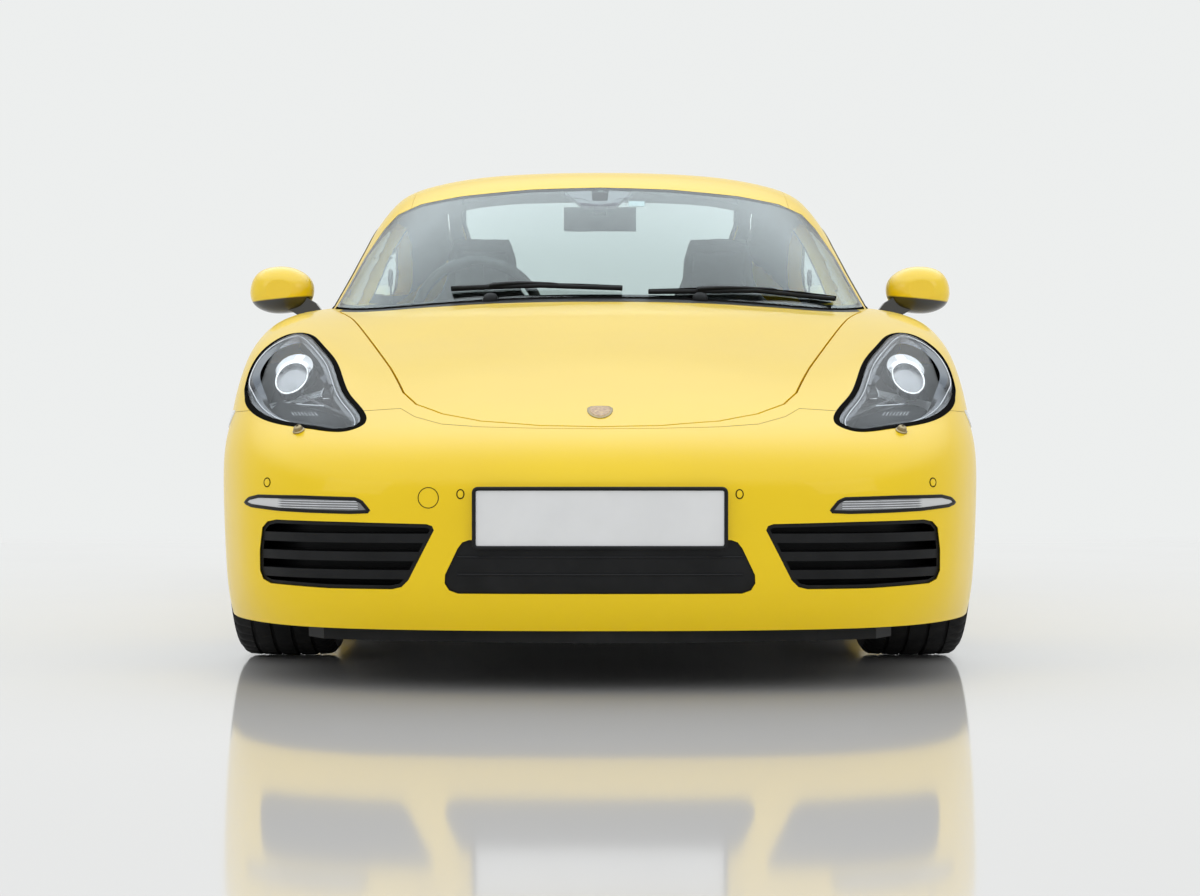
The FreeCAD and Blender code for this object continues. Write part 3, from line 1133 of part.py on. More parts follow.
def main():
    os.makedirs("parts", exist_ok=True)
    door = make_door()
    glass = make_door_glass()
    mirror = make_mirror()
    wing = make_front_wing()
    side = make_body_side()
    seat = make_seat()
    lens = make_headlamp_lens()
    lamp = make_headlamp()
    strip = make_light_strip()
    nodes = {
        "bonnet": make_bonnet(), "front_bumper": make_front_bumper(), "cowl_panel": make_cowl(),
        "front_wing_left": wing, "front_wing_right": flip(wing), "body_side_left": side,
        "body_side_right": flip(side), "roof_panel": make_roof(), "windscreen": make_windscreen(),
        "quarter_windows": make_quarter_windows(), "hatch": make_hatch(), "rear_window": make_rear_window(),
        "rear_bumper": make_rear_bumper(), "rear_diffuser": make_rear_diffuser(),
        "rear_spoiler": make_rear_spoiler(), "tail_lamps": make_tail_lamps(),
        "headlamp_lenses": both(lens), "headlamps": both(lamp), "light_strips": both(strip),
        "intake_grilles": make_intake_grilles(), "number_plates": make_number_plates(),
        "front_lip": make_front_lip(), "door_left": door, "door_right": flip(door),
        "door_glass_left": glass, "door_glass_right": flip(glass), "mirror_left": mirror,
        "mirror_right": flip(mirror), "floor_tub": make_floor_tub(), "front_luggage_tub": make_front_tub(),
        "rear_luggage_tray": make_rear_tray(), "engine_block": make_engine_block(), "exhaust": make_exhaust(),
        "dashboard": make_dashboard().fuse([make_column()]), "seat_left": seat, "seat_right": flip(seat),
        "steering_wheel": make_steering_wheel(), "interior_mirror": make_interior_mirror(),
        "wipers": make_wipers(), "front_subframe": make_front_subframe(),
        "rear_subframe": make_rear_subframe(), "drive_shafts": make_drive_shafts(),
    }
    liners = [make_arch_liner(True), make_arch_liner(False)]
    nodes["arch_liners"] = Part.makeCompound(liners + [flip(liner) for liner in liners])
    for front, end in ((True, "front"), (False, "rear")):
        knuckle, tyre, rim = make_knuckle(front), make_tyre(front), make_rim(front)
        nodes["tyre_" + end + "_left"] = tyre
        nodes["tyre_" + end + "_right"] = flip(tyre)
        nodes["rim_" + end + "_left"] = rim
        nodes["rim_" + end + "_right"] = flip(rim)
        if front:
            nodes["knuckle_left"] = knuckle
            nodes["knuckle_right"] = flip(knuckle)
        else:
            nodes["rear_knuckles"] = both(knuckle)
    for name, shape in nodes.items():
        shape.exportStep("parts/" + name + ".step")
    print(len(nodes), "nodes")


if __name__ == "__main__":
    main()
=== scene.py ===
# %% [markdown]
# A yellow coupe car in a white studio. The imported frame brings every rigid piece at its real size, in metres,
# with the car standing on the ground and its nose towards minus Y. This lesson gives each piece its finish, adds
# what is soft or fine, and sets the studio round it. Nothing of the frame's own shapes is changed.

# %% Load the frame
import math

import bmesh
import bpy
import numpy as np
from mathutils import Matrix, Vector
from mathutils.bvhtree import BVHTree


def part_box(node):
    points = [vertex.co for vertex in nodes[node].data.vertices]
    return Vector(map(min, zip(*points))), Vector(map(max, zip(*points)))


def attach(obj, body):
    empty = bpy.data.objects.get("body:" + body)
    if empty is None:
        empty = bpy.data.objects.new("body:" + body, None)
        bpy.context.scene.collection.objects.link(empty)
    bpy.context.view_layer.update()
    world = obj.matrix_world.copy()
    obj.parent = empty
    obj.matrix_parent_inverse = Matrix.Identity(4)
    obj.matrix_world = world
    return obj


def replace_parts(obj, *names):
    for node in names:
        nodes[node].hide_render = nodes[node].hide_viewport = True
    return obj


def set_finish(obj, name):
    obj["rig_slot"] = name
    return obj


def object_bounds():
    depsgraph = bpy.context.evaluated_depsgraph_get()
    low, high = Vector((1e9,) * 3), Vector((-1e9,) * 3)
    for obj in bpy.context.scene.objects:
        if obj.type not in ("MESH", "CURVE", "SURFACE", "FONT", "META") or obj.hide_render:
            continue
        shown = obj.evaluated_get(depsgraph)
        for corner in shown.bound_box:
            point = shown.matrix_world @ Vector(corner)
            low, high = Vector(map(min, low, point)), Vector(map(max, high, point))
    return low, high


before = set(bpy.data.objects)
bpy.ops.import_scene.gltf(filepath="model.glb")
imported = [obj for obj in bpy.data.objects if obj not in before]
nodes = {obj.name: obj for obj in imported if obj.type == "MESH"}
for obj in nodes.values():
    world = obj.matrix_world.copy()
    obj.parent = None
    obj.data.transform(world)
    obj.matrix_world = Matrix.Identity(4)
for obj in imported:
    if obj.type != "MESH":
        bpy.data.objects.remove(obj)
cad_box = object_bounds()
scene = bpy.context.scene
print("pieces of the frame:", len(nodes))

# %% [markdown]
# The photograph is taken from low in front of the nose, on the car's centre plane, as for a catalogue. A camera
# could be placed by eye, but then sizes in the picture would tell nothing. Its height and distance are worked
# out instead, from the front plate's known size and the widths of tyres and roof. A long lens keeps it calm.

# %% Camera
SENSOR = 0.036
LENS = 0.0735
CAMERA_AHEAD = 5.122
CAMERA_HEIGHT = 0.597
CAMERA_DIP = math.radians(0.826)
NOSE = cad_box[0].y

scene.view_settings.view_transform = "Standard"
camera = bpy.data.objects.new("camera", bpy.data.cameras.new("camera"))
scene.collection.objects.link(camera)
scene.camera = camera
camera.data.sensor_width = SENSOR * 1000
camera.data.lens = LENS * 1000
camera.data.clip_end = 100
camera.location = (0, NOSE - CAMERA_AHEAD, CAMERA_HEIGHT)
camera.rotation_euler = (math.pi / 2 - CAMERA_DIP, 0, 0)
print("camera at", tuple(camera.location))

# %% [markdown]
# A studio shot has even, soft light and a pale room. A room of real walls could be built, but it would have to
# be large, and its corners would show in the paint. A world does the same with a few nodes. It gives a weak
# even light, and shows as a pale wall to the camera, to glossy surfaces and through glass. Its upper part is
# brighter, as a lit ceiling, and draws the broad highlights on the roof, the glass and the front lid.

# %% World
WALL = (0.845, 0.86, 0.855, 1)
CEILING = (2.1, 2.3, 2.42, 1)
CEILING_STARTS, CEILING_FULL = 0.45, 0.70
EVEN_LIGHT, UPPER_LIGHT = 0.82, 1.15


def add(tree, kind, inputs, **settings):
    """A new shader node. Each input, by its name or number, gets a value or is linked to another node's output."""
    made = tree.nodes.new("ShaderNode" + kind)
    for setting, value in settings.items():
        setattr(made, setting, value)
    for key, value in inputs.items():
        if isinstance(value, bpy.types.NodeSocket):
            tree.links.new(value, made.inputs[key])
        else:
            made.inputs[key].default_value = value
    return made


world = bpy.data.worlds.new("studio")
scene.world = world
world.use_nodes = True
tree = world.node_tree
tree.nodes.clear()
rays = add(tree, "LightPath", {})
seen = add(tree, "Math", {0: rays.outputs["Is Camera Ray"], 1: rays.outputs["Is Glossy Ray"]}, operation="MAXIMUM")
shown = add(tree, "Math", {0: seen.outputs[0], 1: rays.outputs["Is Transmission Ray"]}, operation="MAXIMUM")
ways = add(tree, "TexCoord", {})
upwards = add(tree, "SeparateXYZ", {"Vector": ways.outputs["Generated"]}).outputs["Z"]
lift = add(tree, "MapRange", {"From Min": CEILING_STARTS, "From Max": CEILING_FULL, "Value": upwards})
tone = add(tree, "Mix", {"A": WALL, "B": CEILING, "Factor": lift.outputs["Result"]}, data_type="RGBA")
room = add(tree, "Background", {"Color": tone.outputs["Result"]})
climb = add(tree, "MapRange", {"To Min": EVEN_LIGHT, "To Max": UPPER_LIGHT, "Value": upwards})
even = add(tree, "Background", {"Strength": climb.outputs["Result"]})
either = add(tree, "MixShader", {"Fac": shown.outputs[0], 1: even.outputs[0], 2: room.outputs[0]})
add(tree, "OutputWorld", {"Surface": either.outputs[0]})
print("even light", EVEN_LIGHT)

# %% [markdown]
# A photographer hangs a large soft box over a car and stands two more at its front corners. An area lamp does
# the same here. A point or sun lamp would draw hard shadows, which the photograph doesn't have. The corner
# lamps show as soft streaks in the paint, and the one above only lifts the upper faces.

# %% Lamps
def soft_lamp(name, place, target, wide, deep, brightness):
    """A soft lamp of the given brightness, seen in the paint and glass but not by the camera."""
    lamp = bpy.data.objects.new(name, bpy.data.lights.new(name, "AREA"))
    lamp.data.shape = "RECTANGLE"
    lamp.data.size, lamp.data.size_y = wide, deep
    lamp.data.energy = brightness * wide * deep * math.pi
    lamp.location = place
    lamp.rotation_euler = (Vector(target) - Vector(place)).to_track_quat("-Z", "Y").to_euler()
    lamp.visible_camera = False
    scene.collection.objects.link(lamp)
    return lamp


above = soft_lamp("lamp_above", (0, 0.8, 4.6), (0, 0.8, 0), 5.6, 6.0, 0.35)
above.visible_glossy = False
for name, side in (("lamp_front_left", 1), ("lamp_front_right", -1)):
    soft_lamp(name, (side * 5.0, -6.5, 3.6), (0, -1.4, 0.4), 3.4, 2.4, 0.95)

# %% [markdown]
# Every finish is made of shader nodes. One plain shader for each would do from afar, but real paint, plastic
# and leather are never one even colour. So a first helper makes the plain shader, a second lets its colour
# wander between two near tones, a third gives the surface a fine relief, and a fourth varies its roughness.

# %% Helpers for finishes
COAT_ROUGHNESS = 0.03
NOISE_DETAIL = 3.0
PATCH_ENDS = (0.3, 0.7)  # where in the noise the darkest and the palest tone are reached


def shader_of(finish):
    return finish.node_tree.nodes["Principled BSDF"]


def new_finish(name, colour, roughness, metallic=0.0, coat=0.0):
    finish = bpy.data.materials.new(name)
    finish.use_nodes = True
    for socket, value in (("Base Color", (*colour, 1)), ("Roughness", roughness), ("Metallic", metallic),
                          ("Coat Weight", coat), ("Coat Roughness", COAT_ROUGHNESS)):
        shader_of(finish).inputs[socket].default_value = value
    return finish


def shine(finish, level):
    """How much of the light the bare surface mirrors. Blender's own value is 0.5."""
    shader_of(finish).inputs["Specular IOR Level"].default_value = level


def own_place(finish):
    """Where a point lies on the piece, so that a pattern moves along with it."""
    return add(finish.node_tree, "TexCoord", {}).outputs["Object"]


def noise_of(finish, scale):
    return add(finish.node_tree, "TexNoise", {"Scale": scale, "Detail": NOISE_DETAIL,
                                              "Vector": own_place(finish)}).outputs["Fac"]


def feed(finish, output, socket):
    finish.node_tree.links.new(output, shader_of(finish).inputs[socket])


def graded(finish, value, ends, tones):
    """The colour goes from one tone to another while a value goes from one end to the other."""
    ramp = add(finish.node_tree, "ValToRGB", {"Fac": value})
    for stop, end, tone in zip(ramp.color_ramp.elements, ends, tones):
        stop.position, stop.color = end, (*tone, 1)
    feed(finish, ramp.outputs["Color"], "Base Color")


def wander(finish, scale, dark, pale):
    """The colour goes between two tones, in patches of the given fineness."""
    graded(finish, noise_of(finish, scale), PATCH_ENDS, (dark, pale))


def relief(finish, scale, height, strength=0.3, cells=False):
    """A fine relief, of noise or of cells as in leather and grained plastic."""
    if cells:
        grain = add(finish.node_tree, "TexVoronoi", {"Scale": scale, "Vector": own_place(finish)}).outputs["Distance"]
    else:
        grain = noise_of(finish, scale)
    bump = add(finish.node_tree, "Bump", {"Strength": strength, "Distance": height, "Height": grain})
    feed(finish, bump.outputs["Normal"], "Normal")


def uneven(finish, scale, low, high):
    """The roughness goes between two values, so that reflections break up a little."""
    span = add(finish.node_tree, "MapRange", {"To Min": low, "To Max": high, "Value": noise_of(finish, scale)})
    feed(finish, span.outputs["Result"], "Roughness")


print("helpers for finishes ready")

# %% [markdown]
# The paint is a solid strong yellow under a clear coat. One glossy layer would turn pale wherever it mirrors the
# white room. With a thin coat over a duller base, the coat carries the sharp reflections and the yellow stays
# deep. The colour varies by a hair, and a very weak, broad relief gives the ripple of sprayed paint.

# %% Paint
YELLOW_DARK = (0.92, 0.635, 0.0015)
YELLOW_PALE = (0.95, 0.665, 0.002)

paint = new_finish("yellow paint", YELLOW_PALE, 0.34, coat=0.38)
wander(paint, 3.0, YELLOW_DARK, YELLOW_PALE)
relief(paint, 260.0, 0.00003, 0.12)
shine(paint, 0.2)
print("paint", YELLOW_PALE)

# %% [markdown]
# The windows are green-tinted glass, the head lamps have clear covers and the tail lamps red ones. Each pane is
# a solid with two faces, and glass with its full bend would mirror the white room so strongly that little shows
# behind it. A smaller bend keeps that mirror image as weak as in the photograph.

# %% Glass and lamp finishes
def clear_finish(name, tint, roughness=0.0, bend=1.48):
    """A clear finish. The bend says how strongly it turns the light, and mirrors it, too."""
    finish = new_finish(name, tint, roughness)
    shader_of(finish).inputs["Transmission Weight"].default_value = 1.0
    shader_of(finish).inputs["IOR"].default_value = bend
    wander(finish, 2.0, tuple(c * 0.985 for c in tint), tint)
    return finish


glass = clear_finish("tinted glass", (0.74, 0.82, 0.81), bend=1.4)
lens_clear = clear_finish("clear lamp cover", (0.86, 0.87, 0.885), bend=1.1)
lens_red = clear_finish("red lamp cover", (0.62, 0.012, 0.016), 0.03)

lamp_dark = new_finish("dark lamp housing", (0.022, 0.024, 0.028), 0.5)
wander(lamp_dark, 60.0, (0.017, 0.019, 0.022), (0.03, 0.033, 0.037))
relief(lamp_dark, 700.0, 0.00004, 0.2)
chrome = new_finish("bright reflector", (0.86, 0.87, 0.88), 0.06, metallic=1.0)
uneven(chrome, 40.0, 0.04, 0.10)
lamp_white = new_finish("light strip", (0.72, 0.74, 0.77), 0.18, coat=1.0)
wander(lamp_white, 30.0, (0.62, 0.64, 0.67), (0.78, 0.80, 0.83))
print("clear finishes:", glass.name, lens_clear.name, lens_red.name)

# %% [markdown]
# Black plastic, rubber and tyres look flat when they are one even black. Each gets a slight change of tone and
# a grain of its own: small cells for moulded plastic, fine noise for rubber and cast metal. Bare metal gets no
# coat, and its brightness comes from reflections, so its roughness varies instead. The blacks mirror little,
# or the white studio would turn them grey.

# %% Plastics, rubber and metals
black_satin = new_finish("black plastic", (0.012, 0.0125, 0.013), 0.42)
wander(black_satin, 14.0, (0.010, 0.0105, 0.011), (0.016, 0.0165, 0.0175))
relief(black_satin, 900.0, 0.00006, 0.25, cells=True)
black_gloss = new_finish("gloss black", (0.006, 0.006, 0.007), 0.3, coat=0.1)
uneven(black_gloss, 20.0, 0.26, 0.34)
under_black = new_finish("underside plastic", (0.018, 0.018, 0.018), 0.7)
wander(under_black, 9.0, (0.012, 0.012, 0.012), (0.03, 0.029, 0.027))
relief(under_black, 240.0, 0.0003, 0.4)
seal = new_finish("rubber seal", (0.01, 0.01, 0.01), 0.6)
relief(seal, 600.0, 0.0001, 0.3)
tyre_finish = new_finish("tyre rubber", (0.017, 0.017, 0.0175), 0.62)
wander(tyre_finish, 22.0, (0.013, 0.013, 0.0135), (0.026, 0.0255, 0.025))
relief(tyre_finish, 420.0, 0.0002, 0.35)
alloy = new_finish("wheel alloy", (0.5, 0.51, 0.53), 0.3, metallic=0.75, coat=0.6)
wander(alloy, 18.0, (0.46, 0.47, 0.49), (0.54, 0.55, 0.57))
relief(alloy, 800.0, 0.00003, 0.15)
cast = new_finish("cast metal", (0.36, 0.36, 0.37), 0.5, metallic=0.8)
wander(cast, 26.0, (0.28, 0.28, 0.29), (0.42, 0.42, 0.43))
relief(cast, 320.0, 0.0003, 0.4)
steel = new_finish("bright steel", (0.55, 0.55, 0.56), 0.28, metallic=1.0)
wander(steel, 30.0, (0.5, 0.5, 0.51), (0.6, 0.6, 0.61))
uneven(steel, 90.0, 0.2, 0.36)
disc_iron = new_finish("brake disc", (0.42, 0.415, 0.41), 0.34, metallic=1.0)
wander(disc_iron, 60.0, (0.36, 0.355, 0.35), (0.46, 0.455, 0.45))
plate_white = new_finish("plate", (0.78, 0.79, 0.80), 0.35, coat=0.4)
wander(plate_white, 12.0, (0.76, 0.77, 0.78), (0.80, 0.81, 0.82))
relief(plate_white, 1500.0, 0.00002, 0.2, cells=True)
for dull, level in ((black_satin, 0.12), (under_black, 0.1), (seal, 0.0), (black_gloss, 0.15),
                    (tyre_finish, 0.12), (lamp_dark, 0.12)):
    shine(dull, level)
print("finishes so far:", len(bpy.data.materials))

# %% [markdown]
# Inside the car the light is dim, so each finish needs only a tone and a grain. Leather has larger cells than
# plastic, and carpet is rough all over with a deep, fine relief. A mirror's face is a bright metal.

# %% Cabin finishes
trim = new_finish("cabin trim", (0.022, 0.022, 0.023), 0.55)
wander(trim, 30.0, (0.018, 0.018, 0.019), (0.028, 0.028, 0.029))
relief(trim, 900.0, 0.00015, 0.4, cells=True)
leather = new_finish("seat leather", (0.028, 0.027, 0.026), 0.45)
wander(leather, 12.0, (0.021, 0.0205, 0.02), (0.036, 0.035, 0.034))
relief(leather, 520.0, 0.0003, 0.45, cells=True)
carpet = new_finish("carpet", (0.02, 0.02, 0.021), 0.95)
wander(carpet, 160.0, (0.012, 0.012, 0.013), (0.034, 0.034, 0.035))
relief(carpet, 900.0, 0.0008, 0.8)
mirror_face = new_finish("mirror glass", (0.8, 0.82, 0.83), 0.03, metallic=1.0)
uneven(mirror_face, 6.0, 0.02, 0.04)
print("finishes:", len(bpy.data.materials))

# %% [markdown]
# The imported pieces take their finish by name, from one table, so that it's easy to see which is made of what.
# Their meshes stay as they came. Only the fine pieces below are new meshes.

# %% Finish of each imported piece
NODE_FINISH = {
    "bonnet": paint, "front_bumper": paint, "cowl_panel": black_satin, "front_wing_left": paint,
    "front_wing_right": paint, "body_side_left": paint, "body_side_right": paint, "roof_panel": paint,
    "windscreen": glass, "quarter_windows": glass, "hatch": paint, "rear_window": glass, "rear_bumper": paint,
    "rear_diffuser": black_satin, "rear_spoiler": paint, "tail_lamps": lens_red, "headlamp_lenses": lens_clear,
    "headlamps": lamp_dark, "light_strips": lamp_white, "intake_grilles": black_satin,
    "number_plates": plate_white, "front_lip": black_satin, "door_left": paint, "door_right": paint,
    "door_glass_left": glass, "door_glass_right": glass, "mirror_left": paint, "mirror_right": paint,
    "floor_tub": under_black, "front_luggage_tub": carpet, "rear_luggage_tray": carpet, "engine_block": cast,
    "exhaust": steel, "dashboard": trim, "seat_left": leather, "seat_right": leather,
    "steering_wheel": leather, "interior_mirror": trim, "wipers": black_satin, "front_subframe": cast,
    "rear_subframe": cast, "drive_shafts": steel, "arch_liners": under_black, "knuckle_left": cast,
    "knuckle_right": cast, "rear_knuckles": cast,
}
EDGE_ANGLE = math.radians(32)
WELD = 0.00002  # points nearer than this are one point
PATCH_ANGLE = 0.6  # a border runs where two faces meet at more than this, in radians

for name, node in nodes.items():
    if name.startswith("tyre"):
        finish = tyre_finish
    elif name.startswith("rim"):
        finish = alloy
    else:
        finish = NODE_FINISH[name]
    node.data.materials.clear()
    node.data.materials.append(finish)
print("finished pieces:", len(nodes))

# %% [markdown]
# The fine pieces are meshes of their own. They could be modelled by hand, but a few helpers make all of them: a
# loft lays a skin through rings of points, a sweep carries a section along a path, and a block is a box. A bevel
# or a smoothing modifier then softens what is soft. Each piece rides on the body that carries it, so that it
# moves along when a door opens, and names the finish that it belongs to.

# %% Helpers for shapes
def make_piece(name, points, faces, finish, body="root", slot="black_plastic", smooth=True):
    mesh = bpy.data.meshes.new(name)
    mesh.from_pydata([tuple(p) for p in points], [], faces)
    shape = bmesh.new()
    shape.from_mesh(mesh)
    bmesh.ops.recalc_face_normals(shape, faces=shape.faces)
    shape.to_mesh(mesh)
    shape.free()
    if smooth:
        mesh.shade_smooth()
        mesh.set_sharp_from_angle(angle=EDGE_ANGLE)
    piece = bpy.data.objects.new(name, mesh)
    scene.collection.objects.link(piece)
    piece.data.materials.append(finish)
    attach(piece, body)
    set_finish(piece, slot)
    return piece


def twin(piece, name, body="root"):
    """The mirror image of a piece on the car's other side."""
    mesh = piece.data.copy()
    mesh.transform(Matrix.Diagonal((-1, 1, 1, 1)))
    mesh.flip_normals()
    other = bpy.data.objects.new(name, mesh)
    scene.collection.objects.link(other)
    for modifier in piece.modifiers:
        copy = other.modifiers.new(modifier.name, modifier.type)
        if modifier.type == "SUBSURF":
            copy.levels = copy.render_levels = modifier.render_levels
        if modifier.type == "BEVEL":
            copy.width, copy.segments = modifier.width, modifier.segments
    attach(other, body)
    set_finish(other, piece["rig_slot"])
    return other


def loft(rings, closed=False, caps=True):
    """Points and faces of a skin through rings of equal counts."""
    count = len(rings[0])
    points = [p for ring in rings for p in ring]
    faces = []
    for i in range(len(rings) - (0 if closed else 1)):
        a, b = i * count, (i + 1) % len(rings) * count
        faces += [(a + j, a + (j + 1) % count, b + (j + 1) % count, b + j) for j in range(count)]
    if caps and not closed:
        faces.append(tuple(reversed(range(count))))
        faces.append(tuple(range(len(points) - count, len(points))))
    return points, faces


def circle(radius, count=12):
    turn = 2 * math.pi / count
    return [(radius * math.cos(i * turn), radius * math.sin(i * turn)) for i in range(count)]


def sweep(path, section, closed=False, caps=True, up=(0, 0, 1)):
    """Carries a flat section along a path."""
    path = [Vector(p) for p in path]
    rings = []
    for i, place in enumerate(path):
        before = path[i - 1] if i or closed else place
        after = path[(i + 1) % len(path)] if closed or i + 1 < len(path) else place
        ahead = (after - before).normalized()
        side = ahead.cross(Vector(up)).normalized()
        lift = side.cross(ahead)
        rings.append([place + side * u + lift * v for u, v in section])
    return loft(rings, closed, caps)


def rod(name, path, radius, finish, body="root", slot="black_plastic", closed=False, count=10, up=(0, 0, 1)):
    return make_piece(name, *sweep(path, circle(radius, count), closed, up=up), finish, body, slot)


def joined(parts):
    """Several sets of points and faces as one."""
    points, faces = [], []
    for part_points, part_faces in parts:
        base = len(points)
        points += [Vector(p) for p in part_points]
        faces += [tuple(base + i for i in face) for face in part_faces]
    return points, faces


def block(low, high):
    low, high = Vector(low), Vector(high)
    ends = [[Vector((x, y, z)) for x, y in ((low.x, low.y), (high.x, low.y), (high.x, high.y), (low.x, high.y))]
            for z in (low.z, high.z)]
    return loft(ends)


def softened(piece, width, segments=3):
    bevel = piece.modifiers.new("rounded edges", "BEVEL")
    bevel.width, bevel.segments = width, segments
    return piece


def rounder(piece, levels=2):
    smoother = piece.modifiers.new("smooth form", "SUBSURF")
    smoother.levels = smoother.render_levels = levels
    return piece


# %% [markdown]
# Badges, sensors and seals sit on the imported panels, which are curved. Their places could be typed in as three
# numbers, but a small error would let them float or sink. So a line is shot at the panels, and where it meets
# them it gives the place and the way the surface faces. Places are in millimetres: across from the centre
# plane, back from the nose, and up from the ground.

# %% Helpers for places on the car
def at(across, behind, up):
    return Vector((across, behind, up)) / 1000 + Vector((0, NOSE, 0))


SIDES = ((1, "left"), (-1, "right"))
surfaces = {}


def surface(name):
    if name not in surfaces:
        surfaces[name] = BVHTree.FromObject(nodes[name], bpy.context.evaluated_depsgraph_get())
    return surfaces[name]


def touch(names, start, way):
    """Where a line first meets one of the named pieces, or passes nearest, and the surface's direction there."""
    hits = []
    for name in names:
        place, normal, _, far = surface(name).ray_cast(start, Vector(way))
        if place is not None:
            hits.append((far, place, normal))
    if not hits:
        far = 1.5
        for _ in range(6):
            near = [surface(name).find_nearest(start + Vector(way) * far) for name in names]
            place, normal, _, _ = min(near, key=lambda found: found[3])
            far = (place - start).dot(Vector(way))
        hits = [(far, place, normal)]
    far, place, normal = min(hits, key=lambda hit: hit[0])
    return place, -normal if normal.dot(Vector(way)) > 0 else normal


def from_front(names, across, up):
    return touch(names, at(across, -1000, up), (0, 1, 0))


def from_side(names, behind, up, side=1):
    return touch(names, at(side * 2000, behind, up), (-side, 0, 0))


def from_above(names, across, behind):
    return touch(names, at(across, behind, 3000), (0, 0, -1))


def from_behind(names, across, up):
    return touch(names, at(across, 6000, up), (0, -1, 0))


print("sides:", [name for side, name in SIDES])

# %% [markdown]
# A seal follows the border of a window or a lamp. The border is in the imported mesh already, so it is read from
# there: the faces are sorted into patches between sharp edges, and the largest outer patch gives its longest
# border. Its points are then set at even steps, since the mesh has them close together in the corners only.

# %% Helpers for borders
def skin_patches(name):
    """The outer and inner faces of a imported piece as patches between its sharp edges, largest first."""
    shape = bmesh.new()
    shape.from_mesh(nodes[name].data)
    bmesh.ops.remove_doubles(shape, verts=shape.verts, dist=WELD)
    shape.faces.ensure_lookup_table()
    patch_of = {}
    patches = []
    for face in shape.faces:
        if face.index in patch_of:
            continue
        patch, waiting = [], [face]
        patch_of[face.index] = len(patches)
        while waiting:
            one = waiting.pop()
            patch.append(one)
            for edge in one.edges:
                if len(edge.link_faces) != 2 or edge.calc_face_angle(0) > PATCH_ANGLE:
                    continue
                for other in edge.link_faces:
                    if other.index not in patch_of:
                        patch_of[other.index] = len(patches)
                        waiting.append(other)
        patches.append(patch)
    patches.sort(key=lambda patch: -sum(face.calc_area() for face in patch))
    return shape, patches


def border(patch):
    """The longest border of a patch, as places in order with the patch's direction at each."""
    inside = set(face.index for face in patch)
    after = {}
    for face in patch:
        for loop in face.loops:
            linked = [other for other in loop.edge.link_faces if other.index in inside]
            if len(linked) == 1:
                after[loop.vert] = loop.link_loop_next.vert
    best = []
    while after:
        start = next(iter(after))
        chain, vert = [start], after.pop(start)
        while vert != start and vert in after:
            chain.append(vert)
            vert = after.pop(vert)
        if len(chain) > len(best):
            best = chain
    facing = {}
    for face in patch:
        for vert in face.verts:
            facing[vert] = facing.get(vert, Vector()) + face.normal * face.calc_area()
    return [(vert.co.copy(), facing[vert].normalized()) for vert in best]


def evenly(chain, step):
    """A closed chain of places and directions with even steps."""
    places = [p for p, n in chain] + [chain[0][0]]
    ways = [n for p, n in chain] + [chain[0][1]]
    run = [0.0]
    for a, b in zip(places, places[1:]):
        run.append(run[-1] + (b - a).length)
    count = max(8, round(run[-1] / step))
    new, j = [], 0
    for i in range(count):
        far = run[-1] * i / count
        while run[j + 1] < far:
            j += 1
        share = (far - run[j]) / max(run[j + 1] - run[j], 1e-9)
        new.append((places[j].lerp(places[j + 1], share), ways[j].lerp(ways[j + 1], share).normalized()))
    return new


print("helpers for borders ready")

# %% [markdown]
# Seals, frames and lamp lines follow these borders, moved inwards or outwards, with a small section swept along.
# Plates, rings and turned pieces stand on a panel where a line shot at it meets it. A Boolean cut or a shrinkwrap
# could seat them as well, but it would leave uneven meshes that shade badly.

# %% Helpers for trim on the panels
def outer_border(name, side, way, step, least=-1.0):
    """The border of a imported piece's outer face, on one side of the car, with even steps. Where a piece's edge is
    too soft to part its faces, least keeps only those that face the way."""
    shape, patches = skin_patches(name)
    way = Vector(way).normalized()
    best, most = None, 0.0
    for patch in patches[:10]:
        patch = [face for face in patch if face.normal.dot(way) > least]
        if not patch:
            continue
        area = sum(face.calc_area() for face in patch)
        middle = sum((face.calc_center_median() * face.calc_area() for face in patch), Vector()) / area
        facing = sum((face.normal * face.calc_area() for face in patch), Vector()) / area
        worth = area * facing.dot(way)
        if middle.x * side >= 0 and worth > most:
            best, most = patch, worth
    chain = evenly(border(best), step)
    shape.free()
    return chain


def steadied(chain, rounds=7):
    """A border without back steps, its places and directions evened out."""
    for _ in range(2):
        chain = [c for i, c in enumerate(chain)
                 if (chain[(i + 1) % len(chain)][0] - c[0]).dot(c[0] - chain[i - 1][0]) > 0]
    for _ in range(rounds):
        around = [(chain[i - 1], c, chain[(i + 1) % len(chain)]) for i, c in enumerate(chain)]
        chain = [((a[0] + b[0] * 2 + c[0]) / 4, (a[1] + b[1] * 2 + c[1]).normalized()) for a, b, c in around]
    return chain


def inset(chain, width, lift):
    """A border moved inwards by a width, and off the surface by a lift."""
    moved = []
    for i, (place, way) in enumerate(chain):
        ahead = (chain[(i + 1) % len(chain)][0] - chain[i - 1][0]).normalized()
        moved.append(place + way.cross(ahead).normalized() * width + way * lift)
    return moved


def calm(points, rounds=3):
    for _ in range(rounds):
        points = [(points[i - 1] + p * 2 + points[(i + 1) % len(points)]) / 4 for i, p in enumerate(points)]
    return points


def moulding(name, chain, section, finish, body="root", slot="black_plastic"):
    """A closed moulding whose section is given as pairs of width inwards and lift, in metres."""
    points, faces = loft([inset(chain, width, lift) for width, lift in section], closed=True, caps=False)
    return make_piece(name, points, faces, finish, body, slot)


def traced(on, line, lift):
    return [place + way * lift for place, way in (on(u, v) for u, v in line)]


